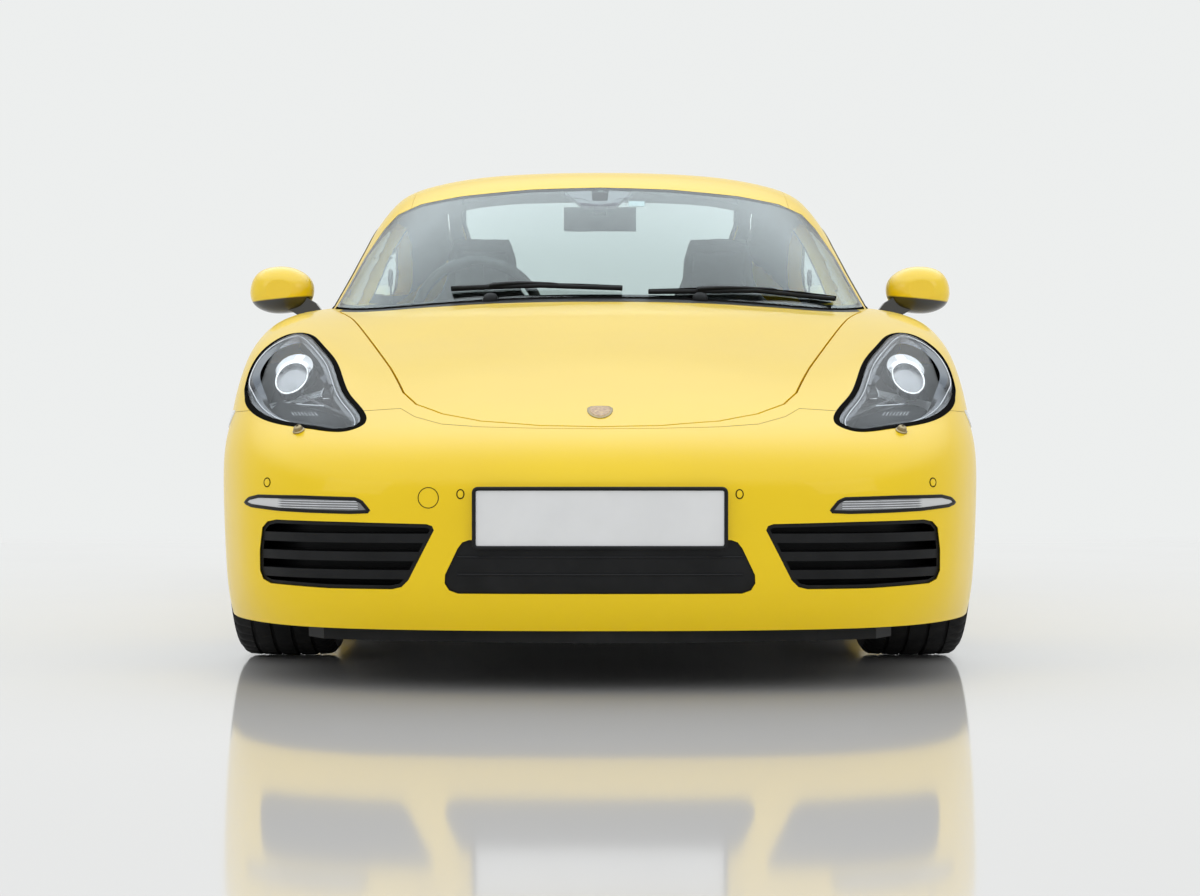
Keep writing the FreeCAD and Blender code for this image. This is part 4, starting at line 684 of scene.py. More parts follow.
def plaque(name, on, outline, lift, finish, body="root", slot="black_plastic", bottom=0.001, crown=0.0):
    """A thin plate that follows a surface, with a softened edge and a crown in its middle."""
    mid_u = sum(u for u, v in outline) / len(outline)
    mid_v = sum(v for u, v in outline) / len(outline)
    rings = [traced(on, outline, -bottom)]
    for share in (1.0, 0.94, 0.7, 0.4, 0.1):
        line = [(mid_u + (u - mid_u) * share, mid_v + (v - mid_v) * share) for u, v in outline]
        rings.append(traced(on, line, lift * (0.55 if share == 1.0 else 1.0) + crown * (1 - share)))
    return make_piece(name, *loft(rings), finish, body, slot)


def turned_shape(place, way, profile, count=24):
    """The skin of a turned piece on a surface, from pairs of radius and height."""
    side = way.orthogonal().normalized()
    other = way.cross(side)
    turns = [(math.cos(a), math.sin(a)) for a in (2 * math.pi * i / count for i in range(count))]
    return loft([[place + (side * c + other * s) * radius + way * height for c, s in turns]
                 for radius, height in profile])


def turned(name, place, way, profile, finish, body="root", slot="black_plastic", count=24):
    return make_piece(name, *turned_shape(place, way, profile, count), finish, body, slot)


def round_line(across, up, radius, count=28):
    return [(across + x, up + z) for x, z in circle(radius, count)]


def outline_of(corners, rounds=2):
    """An outline whose corners are cut again and again, so that it runs round them."""
    for _ in range(rounds):
        cut = []
        for i, (u, v) in enumerate(corners):
            nu, nv = corners[(i + 1) % len(corners)]
            cut += [(u * 0.75 + nu * 0.25, v * 0.75 + nv * 0.25), (u * 0.25 + nu * 0.75, v * 0.25 + nv * 0.75)]
        corners = cut
    return corners


def onto(find, *names):
    """A function that gives the surface of the named pieces where one of the four ways above finds it."""
    return lambda first, second: find(names, first, second)


print("trim helpers ready")

# %% [markdown]
# A head lamp is a deep bowl under a clear cover. A black gasket runs round the cover. Inside lie a bright
# stepped bezel and a thin light line along the edge. Both are rings moved inwards from the gasket's line. Their
# corners would fold over, so each ring is calmed a little more than the one before.

# %% Head lamps
lamp_silver = new_finish("silvered lamp part", (0.075, 0.08, 0.09), 0.28, metallic=0.9)
uneven(lamp_silver, 30.0, 0.16, 0.30)
lamp_eye = new_finish("lens unit", (0.035, 0.037, 0.042), 0.05, coat=1.0)
uneven(lamp_eye, 20.0, 0.03, 0.07)

LAMP_UP = (0.45, -0.8, 0.4)
UNIT_ACROSS, UNIT_UP, UNIT_RADIUS = 716, 685, 37
on_lens = onto(from_front, "headlamp_lenses")
lens_edge = steadied(outer_border("headlamp_lenses", 1, LAMP_UP, 0.010, 0.25))


def lamp_pair(piece):
    """A left piece also gets its mirror image on the right."""
    twin(piece, piece.name.replace("_left", "_right"))


def under_lens(line, depth):
    return traced(on_lens, line, -depth)


def unit_ring(radius, count=40):
    return [(UNIT_ACROSS + x, UNIT_UP + z) for x, z in circle(radius, count)]


lamp_pair(moulding("headlamp_gasket_left", lens_edge,
                   ((-0.004, -0.001), (-0.002, 0.0018), (0.004, 0.0024), (0.0095, 0.0016), (0.011, -0.001)),
                   seal))
bezel = [calm(inset(lens_edge, width, lift), rounds) for width, lift, rounds in
         ((0.008, -0.0055, 2), (0.016, -0.008, 8), (0.019, -0.014, 12), (0.030, -0.018, 18), (0.034, -0.036, 22))]
lamp_pair(make_piece("headlamp_bezel_left", *loft(bezel, caps=False), lamp_silver, slot="lamp_metal"))
lamp_pair(rod("headlamp_line_left", calm(inset(lens_edge, 0.0215, -0.0105), 14), 0.0014, lamp_white,
              slot="lamp_strip", closed=True, count=8, up=LAMP_UP))
print("head lamp's edge points:", len(lens_edge))

# %% [markdown]
# The round lens unit stands in a bright ring, with a crescent-shaped reflector cap over it. In a real lamp it's
# deep in the bowl and looks straight ahead. The cover slopes so steeply that a straight unit would stick out
# of it, so ring, eye and cap are laid under the cover's own surface at a small depth.

# %% Round lens unit
lamp_pair(rod("headlamp_ring_left", under_lens(unit_ring(UNIT_RADIUS), 0.010), 0.0026, chrome, slot="lamp_metal",
              closed=True, up=LAMP_UP))
lamp_pair(plaque("headlamp_eye_left", on_lens, unit_ring(UNIT_RADIUS - 2, 36), -0.017, lamp_eye, slot="lamp_metal",
                 bottom=0.030, crown=0.005))
crescent = []
for i in range(21):
    turn = math.radians(15 + 140 * i / 20)
    outer = UNIT_RADIUS + 7 + 16 * math.sin(math.pi * i / 20) ** 0.6
    section = ((UNIT_RADIUS + 4, 0.014), (UNIT_RADIUS + 7, 0.009), (outer, 0.010), (outer, 0.018),
               (UNIT_RADIUS + 5, 0.020))
    crescent.append([under_lens([(UNIT_ACROSS + r * math.cos(turn), UNIT_UP + r * math.sin(turn))], depth)[0]
                     for r, depth in section])
lamp_pair(make_piece("headlamp_cap_left", *loft(crescent), chrome, slot="lamp_metal"))
print("cap sections:", len(crescent))

# %% [markdown]
# The rest of the bowl holds a small square lamp, curved vanes that run to the inner tip, and fine lines between
# them. From the front only their bright edges show, so each vane is a thin bent sheet under the cover.

# %% Square lamp and vanes
VANE_LINES = (((700, 628), (660, 618), (610, 606), (560, 592), (525, 582)),
              ((680, 648), (650, 634), (600, 616), (555, 598), (522, 588)),
              ((662, 722), (640, 690), (606, 650), (570, 616), (540, 597)),
              ((640, 742), (618, 700), (588, 656), (560, 622), (534, 600)))

square = outline_of([(609, 646), (637, 646), (637, 676), (609, 676)], 1)
lamp_pair(rod("headlamp_square_left", under_lens(square, 0.020), 0.0012, chrome, slot="lamp_metal", closed=True,
              count=8, up=LAMP_UP))
lamp_pair(plaque("headlamp_block_left", on_lens, [(612, 649), (634, 649), (634, 673), (612, 673)], -0.024,
                 lamp_dark, slot="lamp_metal", bottom=0.030))
for number, line in enumerate(VANE_LINES):
    inner = under_lens(line, 0.012 + 0.004 * (number % 2))
    outer = under_lens([(x + 4, z + 12) for x, z in line], 0.022)
    back = under_lens([(x + 3, z + 15) for x, z in line], 0.030)
    lamp_pair(make_piece("headlamp_vane_%d_left" % (number + 1), *loft(list(zip(inner, outer, back))), lamp_silver,
                         slot="lamp_metal"))
fins = []
for x in range(640, 700, 8):
    fins.append(sweep(under_lens(((x, 612), (x - 8, 604)), 0.016), circle(0.0008, 6), up=LAMP_UP))
lamp_pair(make_piece("headlamp_fins_left", *joined(fins), lamp_white, slot="lamp_strip"))
lamp_pair(rod("headlamp_bar_left", under_lens(((688, 628), (660, 626), (622, 624)), 0.014), 0.0014, lamp_white,
              slot="lamp_strip", count=8))

# %% [markdown]
# The light strip over each side intake has a black rim, a pale outer end, and a grey inner part with fine lines.
# Two materials on one mesh would need an edge where the colour changes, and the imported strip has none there. A
# ramp over the distance from the centre plane changes the colour instead. It works on both sides at once.

# %% Light strips
STRIP_GREY = (0.17, 0.175, 0.185)
STRIP_PALE = (0.60, 0.61, 0.62)


def spread(finish):
    """How far a point lies from the car's centre plane, the same on both sides, and how high."""
    axes = add(finish.node_tree, "SeparateXYZ", {"Vector": own_place(finish)})
    return add(finish.node_tree, "Math", {0: axes.outputs["X"]}, operation="ABSOLUTE").outputs[0], axes.outputs["Z"]


strip_finish = new_finish("strip cover", (0.5, 0.5, 0.5), 0.16, coat=1.0)
across, up = spread(strip_finish)
graded(strip_finish, across, (0.685, 0.695), (STRIP_GREY, STRIP_PALE))
nodes["light_strips"].data.materials[0] = strip_finish

strip_edge = outer_border("light_strips", 1, (0.3, -1, 0), 0.006)
lamp_pair(moulding("light_strip_rim_left", strip_edge,
                   ((-0.0045, -0.001), (-0.003, 0.0016), (0.001, 0.0022), (0.0035, 0.0014), (0.004, -0.001)),
                   black_gloss, slot="gloss_black"))
on_strip = onto(from_front, "light_strips", "front_bumper")
lines = [sweep(traced(on_strip, [(x, up) for x in range(512, 700, 12)], 0.0006), circle(0.0008, 6))
         for up in (394, 399, 404, 409)]
lamp_pair(make_piece("light_strip_lines_left", *joined(lines), lamp_white, slot="lamp_strip"))
print("strip lines:", len(lines))

# %% [markdown]
# Fine mesh shows between the slats of the side intakes. Each wire is a thin swept line that follows what lies
# behind the opening. A row that would jump from a slat to the bumper is left out. The middle intake gets ridges.

# %% Intake mesh
on_grille = onto(from_front, "intake_grilles", "front_bumper")
wires = []
for up in range(230, 364, 6):
    row = [(x, up) for x in range(560, 726, 15)]
    hits = [on_grille(x, z) for x, z in row]
    if max(p.y for p, n in hits) - min(p.y for p, n in hits) < 0.10 and hits[0][0].y > NOSE + 0.16:
        wires.append(sweep([p + n * 0.001 for p, n in hits], circle(0.0012, 6)))
if wires:
    lamp_pair(make_piece("intake_mesh_left", *joined(wires), black_satin))
ridges = [sweep(traced(on_grille, [(x, up) for x in range(-half, half + 1, 30)], 0.0005), circle(0.0022, 8))
          for up, half in ((294, 300), (257, 300))]
make_piece("centre_intake_ridges", *joined(ridges), black_gloss, slot="gloss_black")
print("mesh wires:", len(wires))

# %% [markdown]
# Small things follow on the nose, and they make it look real. A badge could be a picture, but this one is
# blank, so a shield-shaped plate with a crown and a rim is enough. Parking sensors are round caps in a fine
# ring. A lamp washer is turned from a profile, like a knob on a lathe.

# %% Badge, sensors and washers
badge_gold = new_finish("badge enamel", (0.42, 0.22, 0.06), 0.4, coat=0.3)
wander(badge_gold, 160.0, (0.30, 0.12, 0.035), (0.62, 0.42, 0.16))
badge_metal = new_finish("badge rim", (0.28, 0.22, 0.12), 0.35, metallic=0.8)
uneven(badge_metal, 90.0, 0.28, 0.42)
on_lid = onto(from_above, "bonnet")
shield = outline_of([(-28, 286), (0, 291), (28, 286), (28, 250), (17, 224), (0, 212), (-17, 224), (-28, 250)], 1)
plaque("badge_rim", on_lid, shield, 0.0025, badge_metal, "bonnet", "lamp_metal", crown=0.0005)
plaque("badge_face", on_lid, [(u * 0.84, 252 + (v - 252) * 0.84) for u, v in shield], 0.0036, badge_gold, "bonnet",
       "lamp_metal", crown=0.0014)

on_nose = onto(from_front, "front_bumper")
rings = []
for across, up in ((721, 446), (293, 426)):
    for side in (1, -1):
        line = [(side * across + x * 0.8, up + z) for x, z in circle(9.5, 24)]
        rings.append(sweep(traced(on_nose, line, 0.0002), circle(0.0011, 6), closed=True, up=(0, -1, 0)))
        plaque("sensor_%d_%s" % (across, "left" if side > 0 else "right"), on_nose,
               [(side * across + x * 0.66, up + z * 0.84) for x, z in circle(9.5, 24)], 0.0012, paint,
               slot="yellow_paint", crown=0.0006)
rings.append(sweep(traced(on_nose, round_line(-361, 418, 21.5, 40), 0.0), circle(0.0009, 6), closed=True,
                   up=(0, -1, 0)))
make_piece("sensor_rings", *joined(rings), seal)
place, way = from_front(["front_bumper", "front_wing_left"], 660, 557)
lamp_pair(turned("washer_left", place, way, ((0.013, -0.001), (0.0135, 0.002), (0.0105, 0.004), (0.0105, 0.007),
                                             (0.0085, 0.011), (0.005, 0.013), (0.0035, 0.0132), (0.0035, 0.010),
                                             (0.001, 0.0095)), badge_metal, slot="lamp_metal"))
print("rings on the nose:", len(rings))

# %% [markdown]
# A side marker sits on each flank, and each plate has a black frame: a rod round a rectangle whose corners are
# quarter circles. The wind deflectors ahead of the front wheels are plain rubber blocks with rounded edges.

# %% Markers, plate frames and deflectors
on_flank = onto(from_side, "front_bumper", "front_wing_left")
lamp_pair(plaque("side_marker_left", on_flank,
                 outline_of([(548, 604), (600, 602), (652, 590), (640, 566), (590, 560), (552, 570)], 1), 0.0022,
                 lamp_white, slot="lamp_strip", crown=0.001))
PLATE_HALF = Vector((0.256, 0, 0.054))
PLATE_CORNER = 0.008
QUARTERS = ((-1, -1), (1, -1), (1, 1), (-1, 1))
for which, find, up in (("front", from_front, 376), ("rear", from_behind, 486)):
    face, way = find(["number_plates"], 0, up)
    path = []
    for quarter, (across, lift) in enumerate(QUARTERS):
        for step in range(5):
            turn = math.radians(180 + 90 * quarter + 22.5 * step)
            path.append(Vector((across * PLATE_HALF.x + PLATE_CORNER * math.cos(turn), face.y + way.y * 0.001,
                                up / 1000 + lift * PLATE_HALF.z + PLATE_CORNER * math.sin(turn))))
    rod(which + "_plate_frame", path, 0.0042, black_satin, closed=True, up=(0, 1, 0))
for side, name in SIDES:
    low, high = sorted((side * 0.492, side * 0.690))
    piece = make_piece("wind_deflector_" + name, *block((low, NOSE + 0.400, 0.126), (high, NOSE + 0.436, 0.180)),
                       black_satin)
    softened(piece, 0.010, 4)
print("nose trim ready")

# %% [markdown]
# A windscreen is glued in, and a dark printed band hides the glue. The band is a strip of three rings just under
# the pane's inner face, and a rubber seal closes the gap to the roof. Behind the mirror sit the sensor
# housing and a small blank sticker.

# %% Windscreen
glass_shade = new_finish("sensor housing", (0.13, 0.115, 0.14), 0.5)
wander(glass_shade, 20.0, (0.115, 0.10, 0.125), (0.15, 0.135, 0.16))
sticker_pale = new_finish("blank sticker", (0.62, 0.72, 0.74), 0.5)
wander(sticker_pale, 60.0, (0.56, 0.66, 0.68), (0.68, 0.78, 0.80))
screen_edge = outer_border("windscreen", 0, (0, -0.5, 0.8), 0.02)
moulding("windscreen_seal", screen_edge,
         ((-0.004, -0.002), (-0.002, 0.0015), (0.003, 0.0018), (0.007, 0.001), (0.0075, -0.001)), seal)
band = [calm(inset(screen_edge, width, -0.0058), 2) for width in (0.002, 0.012, 0.022)]
make_piece("windscreen_band", *loft(band, caps=False), black_satin)
on_screen = onto(from_front, "windscreen")
housing = [(-104, 1243), (95, 1243), (92, 1212), (40, 1206), (33, 1182), (-28, 1182), (-34, 1206), (-98, 1212)]
plaque("sensor_housing", on_screen, outline_of(housing, 1), -0.0075, glass_shade, bottom=0.014)
plaque("blank_sticker", on_screen, [(81, 1183), (127, 1183), (127, 1200), (81, 1200)], -0.0056, sticker_pale,
       slot="plate_white", bottom=0.0064)
print("windscreen's edge points:", len(screen_edge))

# %% [markdown]
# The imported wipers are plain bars. Each gets a rubber blade along its line, an arm that grows thinner towards
# its end, and a turned cap over its pivot. The blade's section is a wedge, as on a real one.

# %% Wipers
WIPER_LINES = (((-400, 922), (-280, 927), (-160, 930), (-50, 927), (60, 922)),
               ((130, 912), (275, 917), (420, 918), (540, 910), (640, 900)))
for number, line in enumerate(WIPER_LINES, 1):
    blade = [(-0.003, 0.0), (0.003, 0.0), (0.0035, 0.006), (0.0015, 0.013), (-0.0015, 0.013), (-0.0035, 0.006)]
    make_piece("wiper_blade_%d" % number, *sweep(traced(on_screen, line, 0.004), blade, up=(0, -0.45, 0.9)), seal)
    start, middle = line[1], line[2]
    route = traced(on_screen, ((start[0] - 20, start[1] - 4), start, ((start[0] + middle[0]) / 2, middle[1] + 2),
                               middle, (middle[0] + 60, middle[1] - 2)), 0.018)
    rings = []
    for i, place in enumerate(route):
        wide, deep = 0.012 - 0.0018 * i, 0.007 - 0.0009 * i
        rings.append([place + Vector((0, -0.9 * u - 0.45 * v, -0.45 * u + 0.9 * v)) for u, v in
                      ((-wide, -deep), (wide, -deep), (wide * 0.8, deep), (-wide * 0.8, deep))])
    rounder(make_piece("wiper_arm_%d" % number, *loft(rings), black_satin), 1)
    place, way = from_above(["cowl_panel"], start[0] - 10, 1440 + abs(start[0]) * 0.04)
    turned("wiper_pivot_%d" % number, place, way, ((0.020, -0.001), (0.021, 0.006), (0.018, 0.014), (0.012, 0.019),
                                                   (0.003, 0.0205)), black_satin)
print("wiper lines:", len(WIPER_LINES))

# %% [markdown]
# The door mirrors are yellow above and black below, with a framed glass behind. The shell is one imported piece,
# so the colour changes by height in the finish itself, along a line that falls a little outwards.

# %% Door mirrors
MIRROR_LINE = 0.917  # height at which black turns to yellow, at MIRROR_OUT from the centre plane
MIRROR_FALL = 0.10
MIRROR_OUT = 0.90
MIRROR_BLACK = (0.012, 0.0125, 0.013)
mirror_finish = new_finish("mirror shell", YELLOW_PALE, 0.36, coat=0.8)
tree = mirror_finish.node_tree
across, up = spread(mirror_finish)
fall = add(tree, "Math", {0: across, 1: -MIRROR_FALL, 2: MIRROR_FALL * MIRROR_OUT}, operation="MULTIPLY_ADD")
height = add(tree, "Math", {0: up, 1: fall.outputs[0]}, operation="SUBTRACT")
graded(mirror_finish, height.outputs[0], (MIRROR_LINE - 0.001, MIRROR_LINE + 0.001), (MIRROR_BLACK, YELLOW_PALE))
for side, name in SIDES:
    nodes["mirror_" + name].data.materials[0] = mirror_finish
    on_back = onto(from_behind, "mirror_" + name)
    oval = [(side * 903 + x * 1.0, 946 + z * 0.56) for x, z in circle(70, 32)]
    plaque("mirror_frame_" + name, on_back, oval, 0.003, black_satin, "door_" + name)
    plaque("mirror_glass_" + name, on_back, [(side * 903 + (u - side * 903) * 0.9, 946 + (v - 946) * 0.88)
                                             for u, v in oval], 0.0042, mirror_face, "door_" + name, "mirror_glass")
print("mirrors ready")

# %% [markdown]
# A tyre has four grooves round its tread, and cross grooves cut its shoulders into blocks. A bump map would look
# flat at the tyre's edge, where the blocks stand out against the floor. So the tread is real geometry: one
# profile with a mark at each place where a cross groove may cut, repeated round the axle with the cuts in every
# fourth ring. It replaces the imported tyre, which is plain.

# %% Tyres
PITCHES, PITCH_STEPS = 62, 4
GROOVES = (-0.29, -0.10, 0.10, 0.29)  # shares of the tyre's width
GROOVE_HALF, GROOVE_DEPTH = 0.0048, 0.008
CROWN_FALL = 0.006
SHOULDER_CUT, RIB_CUT = 0.0055, 0.002
CUT_LEAN = 0.05


def tyre_profile(wide, radius):
    """Places across and radii round the tyre's section, with mark 1 on a shoulder and 2 beside a groove."""
    half = wide / 2
    line = [(-0.80 * half, 0.2475, 0), (-0.90 * half, 0.256, 0), (-0.965 * half, 0.272, 0),
            (-0.975 * half, 0.274, 0), (-0.992 * half, 0.287, 0), (-half + 0.0006, 0.300, 0),
            (-0.985 * half, 0.314, 0), (-0.955 * half, radius - 0.017, 1), (-0.90 * half, radius - 0.0085, 1),
            (-0.83 * half, radius - 0.0042, 1)]
    for place in GROOVES:
        middle, lip, foot = place * wide, radius - 0.0002 - abs(place) * CROWN_FALL, radius - GROOVE_DEPTH
        line += [(middle - GROOVE_HALF, lip, 2), (middle - GROOVE_HALF * 0.6, foot, 0),
                 (middle + GROOVE_HALF * 0.6, foot, 0), (middle + GROOVE_HALF, lip, 2)]
    line += [(-x, r, mark) for x, r, mark in reversed(line[:10])]
    return line + [(0.70 * half, 0.250, 0), (0.0, 0.300, 0), (-0.70 * half, 0.250, 0)]


def make_tyre(name, side):
    """A tyre whose two shoulders are cut half a pitch apart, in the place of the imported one."""
    low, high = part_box("tyre_" + name)
    middle, wide, radius = (low + high) / 2, high.x - low.x, (high.z - low.z) / 2
    profile = tyre_profile(wide, radius)
    rings = []
    count = PITCHES * PITCH_STEPS
    for i in range(count):
        turn = 2 * math.pi * i / count
        ring = []
        for x, r, mark in profile:
            step = (i + (2 if x * side < 0 else 0)) % PITCH_STEPS
            cut = SHOULDER_CUT if mark == 1 and step == 3 else RIB_CUT if mark == 2 and step == 1 else 0.0
            lean = turn + (abs(x) / wide * CUT_LEAN if mark else 0.0)
            ring.append(middle + Vector((x, (r - cut) * math.sin(lean), -(r - cut) * math.cos(lean))))
        rings.append(ring)
    points, faces = loft(rings, closed=True, caps=False)
    tyre = make_piece("tread_" + name, points, faces, tyre_finish, "wheel_" + name, "tyre_rubber")
    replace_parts(tyre, "tyre_" + name)


print("rings in a tyre:", PITCHES * PITCH_STEPS)

# %% [markdown]
# The wheels get what a packed rim has no room for: a blank centre cap, five bolts with their seats, a valve, and
# the machined, drilled face of the brake disc. All are turned shapes, and a bolt is just one with six sides.

# %% Wheels
CAP = ((0.032, -0.001), (0.0325, 0.004), (0.029, 0.0065), (0.020, 0.0075), (0.004, 0.008))
BOLT_SEAT = ((0.014, -0.001), (0.014, 0.0015), (0.0115, 0.0025))
BOLT_HEAD = ((0.0105, 0.002), (0.0105, 0.010), (0.009, 0.0115), (0.0045, 0.0115), (0.004, 0.006))
VALVE = ((0.005, -0.012), (0.005, 0.004), (0.0042, 0.016), (0.0045, 0.020), (0.002, 0.023))
DISC_RING = ((0.094, -0.001), (0.095, 0.0008), (0.161, 0.0008), (0.1645, -0.001))
DRILLED = ((0.0035, -0.0004), (0.0032, 0.0003), (0.0015, 0.0002))
BOLTS, BOLT_CIRCLE, VALVE_CIRCLE = 5, 0.056, 0.222
HOLES, HOLE_CIRCLES = 30, (0.108, 0.128, 0.148)
HALF_TRACK = {"front": 0.7575, "rear": 0.766}


def around_axle(middle, radius, turn):
    """A place at a distance from the axle, turned from straight up."""
    return middle + Vector((0, radius * math.sin(turn), radius * math.cos(turn)))


for name in ("front_left", "front_right", "rear_left", "rear_right"):
    side = 1 if name.endswith("left") else -1
    make_tyre(name, side)
    low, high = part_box("rim_" + name)
    axle = (low + high) / 2
    outer = high.x if side > 0 else low.x
    face = Vector((outer - side * 0.024, axle.y, axle.z))
    way = Vector((side, 0, 0))
    carrier = "wheel_" + name
    turned("wheel_cap_" + name, face, way, CAP, alloy, carrier, "rim_alloy", 40)
    bolts = []
    for i in range(BOLTS):
        spot = around_axle(face, BOLT_CIRCLE, 2 * math.pi * (i + 0.5) / BOLTS)
        bolts += [turned_shape(spot, way, BOLT_SEAT, 20), turned_shape(spot, way, BOLT_HEAD, 6)]
    turn = math.radians(36)
    spot = around_axle(Vector((outer - side * 0.030, axle.y, axle.z)), VALVE_CIRCLE, turn)
    valve_way = Vector((side, -0.3 * math.sin(turn), -0.3 * math.cos(turn))).normalized()
    bolts.append(turned_shape(spot, valve_way, VALVE, 12))
    make_piece("wheel_bolts_" + name, *joined(bolts), steel, carrier, "steel")
    disc = Vector((side * (HALF_TRACK[name.split("_")[0]] + 0.0152), axle.y, axle.z))
    face_ring = [turned_shape(disc, way, DISC_RING, 72)]
    for i in range(HOLES):
        spot = around_axle(disc + way * 0.0008, HOLE_CIRCLES[i % 3], 2 * math.pi * i / HOLES)
        face_ring.append(turned_shape(spot, way, DRILLED, 10))
    make_piece("disc_face_" + name, *joined(face_ring), disc_iron, carrier, "steel")
print("tyres and wheels ready")

# %% [markdown]
# The inside of the body is lined with board and cloth. A lining could be modelled panel by panel, but it would
# never fit all round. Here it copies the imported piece's own inward faces, chosen by their place and the way they
# face, and moves them inwards by a hair, so it fits round each opening.

# %% Linings
lining_pale = new_finish("pale lining", (0.10, 0.10, 0.105), 0.9)
wander(lining_pale, 90.0, (0.08, 0.08, 0.085), (0.12, 0.12, 0.125))
relief(lining_pale, 900.0, 0.0003, 0.4)


def lining(name, source, keep, lift, finish, body="root", slot="interior_black"):
    shape = bmesh.new()
    shape.from_mesh(nodes[source].data)
    bmesh.ops.remove_doubles(shape, verts=shape.verts, dist=WELD)
    gone = [face for face in shape.faces if not keep(face.calc_center_median(), face.normal)]
    bmesh.ops.delete(shape, geom=gone, context="FACES")
    for vert in shape.verts:
        vert.co += vert.normal * lift
    mesh = bpy.data.meshes.new(name)
    shape.to_mesh(mesh)
    shape.free()
    piece = bpy.data.objects.new(name, mesh)
    scene.collection.objects.link(piece)
    piece.data.materials.append(finish)
    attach(piece, body)
    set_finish(piece, slot)
    print(name, len(mesh.polygons))
    return piece


for side, name in SIDES:
    lining("pillar_lining_" + name, "body_side_" + name,
           lambda c, n: n.x * side < -0.15 and c.z > 0.72 and 1.45 < c.y - NOSE < 2.95, 0.0015, lining_pale)
    lining("post_lining_" + name, "body_side_" + name,
           lambda c, n: n.x * side < -0.5 and c.z <= 0.80 and 1.3 < c.y - NOSE < 2.85, 0.0015, trim)
    lining("door_card_" + name, "door_" + name,
           lambda c, n: n.x * side < -0.4 and c.x * side < 0.86, 0.002, trim, "door_" + name)
lining("roof_lining", "roof_panel", lambda c, n: n.z < -0.4, 0.002, lining_pale)
lining("hatch_lining", "hatch", lambda c, n: n.z < -0.2, 0.0015, lining_pale, "hatch")
lining("front_lid_lining", "bonnet", lambda c, n: n.z < -0.2, 0.0015, under_black, "bonnet")

# %% [markdown]
# Doors get an arm rest, a pull handle, a pocket and a speaker ring inside, and a painted handle outside. Each is
# lofted through a few sections that start on the door's own surface. Rubber seals run round the glass. All of
# them ride on the door, except the seals of the quarter windows.

# %% Parts of a door
def seal_section(crest, reach):
    """The section of a flat rubber seal: a raised lip that falls off towards the glass."""
    return (-0.003, -0.001), (-0.002, 0.0012), (crest, 0.0014), (reach, 0.0008), (reach + 0.0005, -0.001)


def arm_rest(door, side, inner):
    """Stations back from the nose, with how far the rest stands out and half its height, in millimetres."""
    rest = []
    for behind, wide, deep in ((1700, 8, 10), (1740, 34, 24), (1860, 46, 30), (2080, 52, 34), (2240, 48, 32),
                               (2330, 30, 24), (2360, 8, 12)):
        place, way = inner(behind, 600)
        rest.append([place + Vector((-side * u * wide / 1000, 0, v * deep / 1000)) for u, v in
                     ((0, -1), (0.6, -1), (0.95, -0.75), (1, 0), (0.95, 0.6), (0.6, 1), (0, 1), (-0.1, 0))])
    rounder(make_piece(door.replace("door", "arm_rest"), *loft(rest), leather, door, "seat_leather"), 2)


def door_pull(door, side, inner):
    grip = [inner(behind, up)[0] + Vector((-side * lift / 1000, 0, 0)) for behind, up, lift in
            ((1820, 690, 3), (1840, 700, 32), (1900, 715, 42), (1990, 722, 42), (2050, 722, 32), (2070, 718, 3))]
    rounder(rod(door.replace("door", "door_pull"), grip, 0.011, black_satin, door, "interior_black"), 1)


def door_pocket(door, side, inner):
    pocket = []
    for behind in (1860, 1900, 2100, 2300, 2340):
        place, way = inner(behind, 330)
        out = 0.028 if 1880 < behind < 2320 else 0.006
        pocket.append([place + Vector((-side * u * out, 0, v / 1000)) for u, v in
                       ((0, -70), (0.8, -66), (1, 0), (1, 62), (0.8, 70), (0, 66))])
    softened(make_piece(door.replace("door", "door_pocket"), *loft(pocket), trim, door, "interior_black"), 0.004, 2)


def door_handle(door, side):
    """Stations of the outer handle, with its height, how far it stands off the door, and half its width."""
    grip = []
    for behind, up, lift, wide in ((2368, 762, 0.001, 9), (2384, 763, 0.016, 11), (2420, 765, 0.026, 12),
                                   (2470, 767, 0.026, 12), (2510, 768, 0.017, 11), (2528, 768, 0.001, 9)):
        place, way = from_side([door], behind, up, side)
        middle = place + way * lift
        grip.append([middle + Vector((0, 0, v * wide / 1000)) + way * u * 0.006 for u, v in
                     ((1, -0.6), (1, 0.6), (0, 1), (-1, 0.6), (-1, -0.6), (0, -1))])
    rounder(make_piece(door.replace("door", "door_handle"), *loft(grip), paint, door, "yellow_paint"), 2)


print("door parts can be made")

# %% [markdown]
# Now both doors get them. The inner face of a door is found by a line shot from the car's middle outwards.

# %% Both doors
SPEAKER = ((0.082, -0.001), (0.083, 0.006), (0.076, 0.009), (0.070, 0.005), (0.040, 0.007), (0.004, 0.008))

for side, name in SIDES:
    door = "door_" + name
    inner = lambda behind, up: touch([door], at(0, behind, up), (side, 0, 0))
    arm_rest(door, side, inner)
    door_pull(door, side, inner)
    place, way = inner(1720, 420)
    turned("door_speaker_" + name, place, way, SPEAKER, black_satin, door, "interior_black", 40)
    door_pocket(door, side, inner)
    door_handle(door, side)
    edge = outer_border("door_glass_" + name, side, (side, 0, 0.3), 0.02)
    moulding("door_glass_seal_" + name, edge, seal_section(0.003, 0.006), seal, door)
    edge = outer_border("quarter_windows", side, (side, 0, 0.3), 0.015)
    moulding("quarter_seal_" + name, edge, seal_section(0.003, 0.008), seal)
edge = outer_border("rear_window", 0, (0, 0.4, 0.9), 0.02)
moulding("rear_window_seal", edge, seal_section(0.004, 0.012), seal, "hatch")
flap = [from_side(["front_wing_right"], 1168 + u * 1.0, 705 + v, -1) for u, v in circle(62, 40)]
make_piece("fuel_flap_ring", *sweep([p + n * 0.0001 for p, n in flap], circle(0.0011, 6), closed=True,
                                    up=(-1, 0, 0)), seal)
print("doors ready")

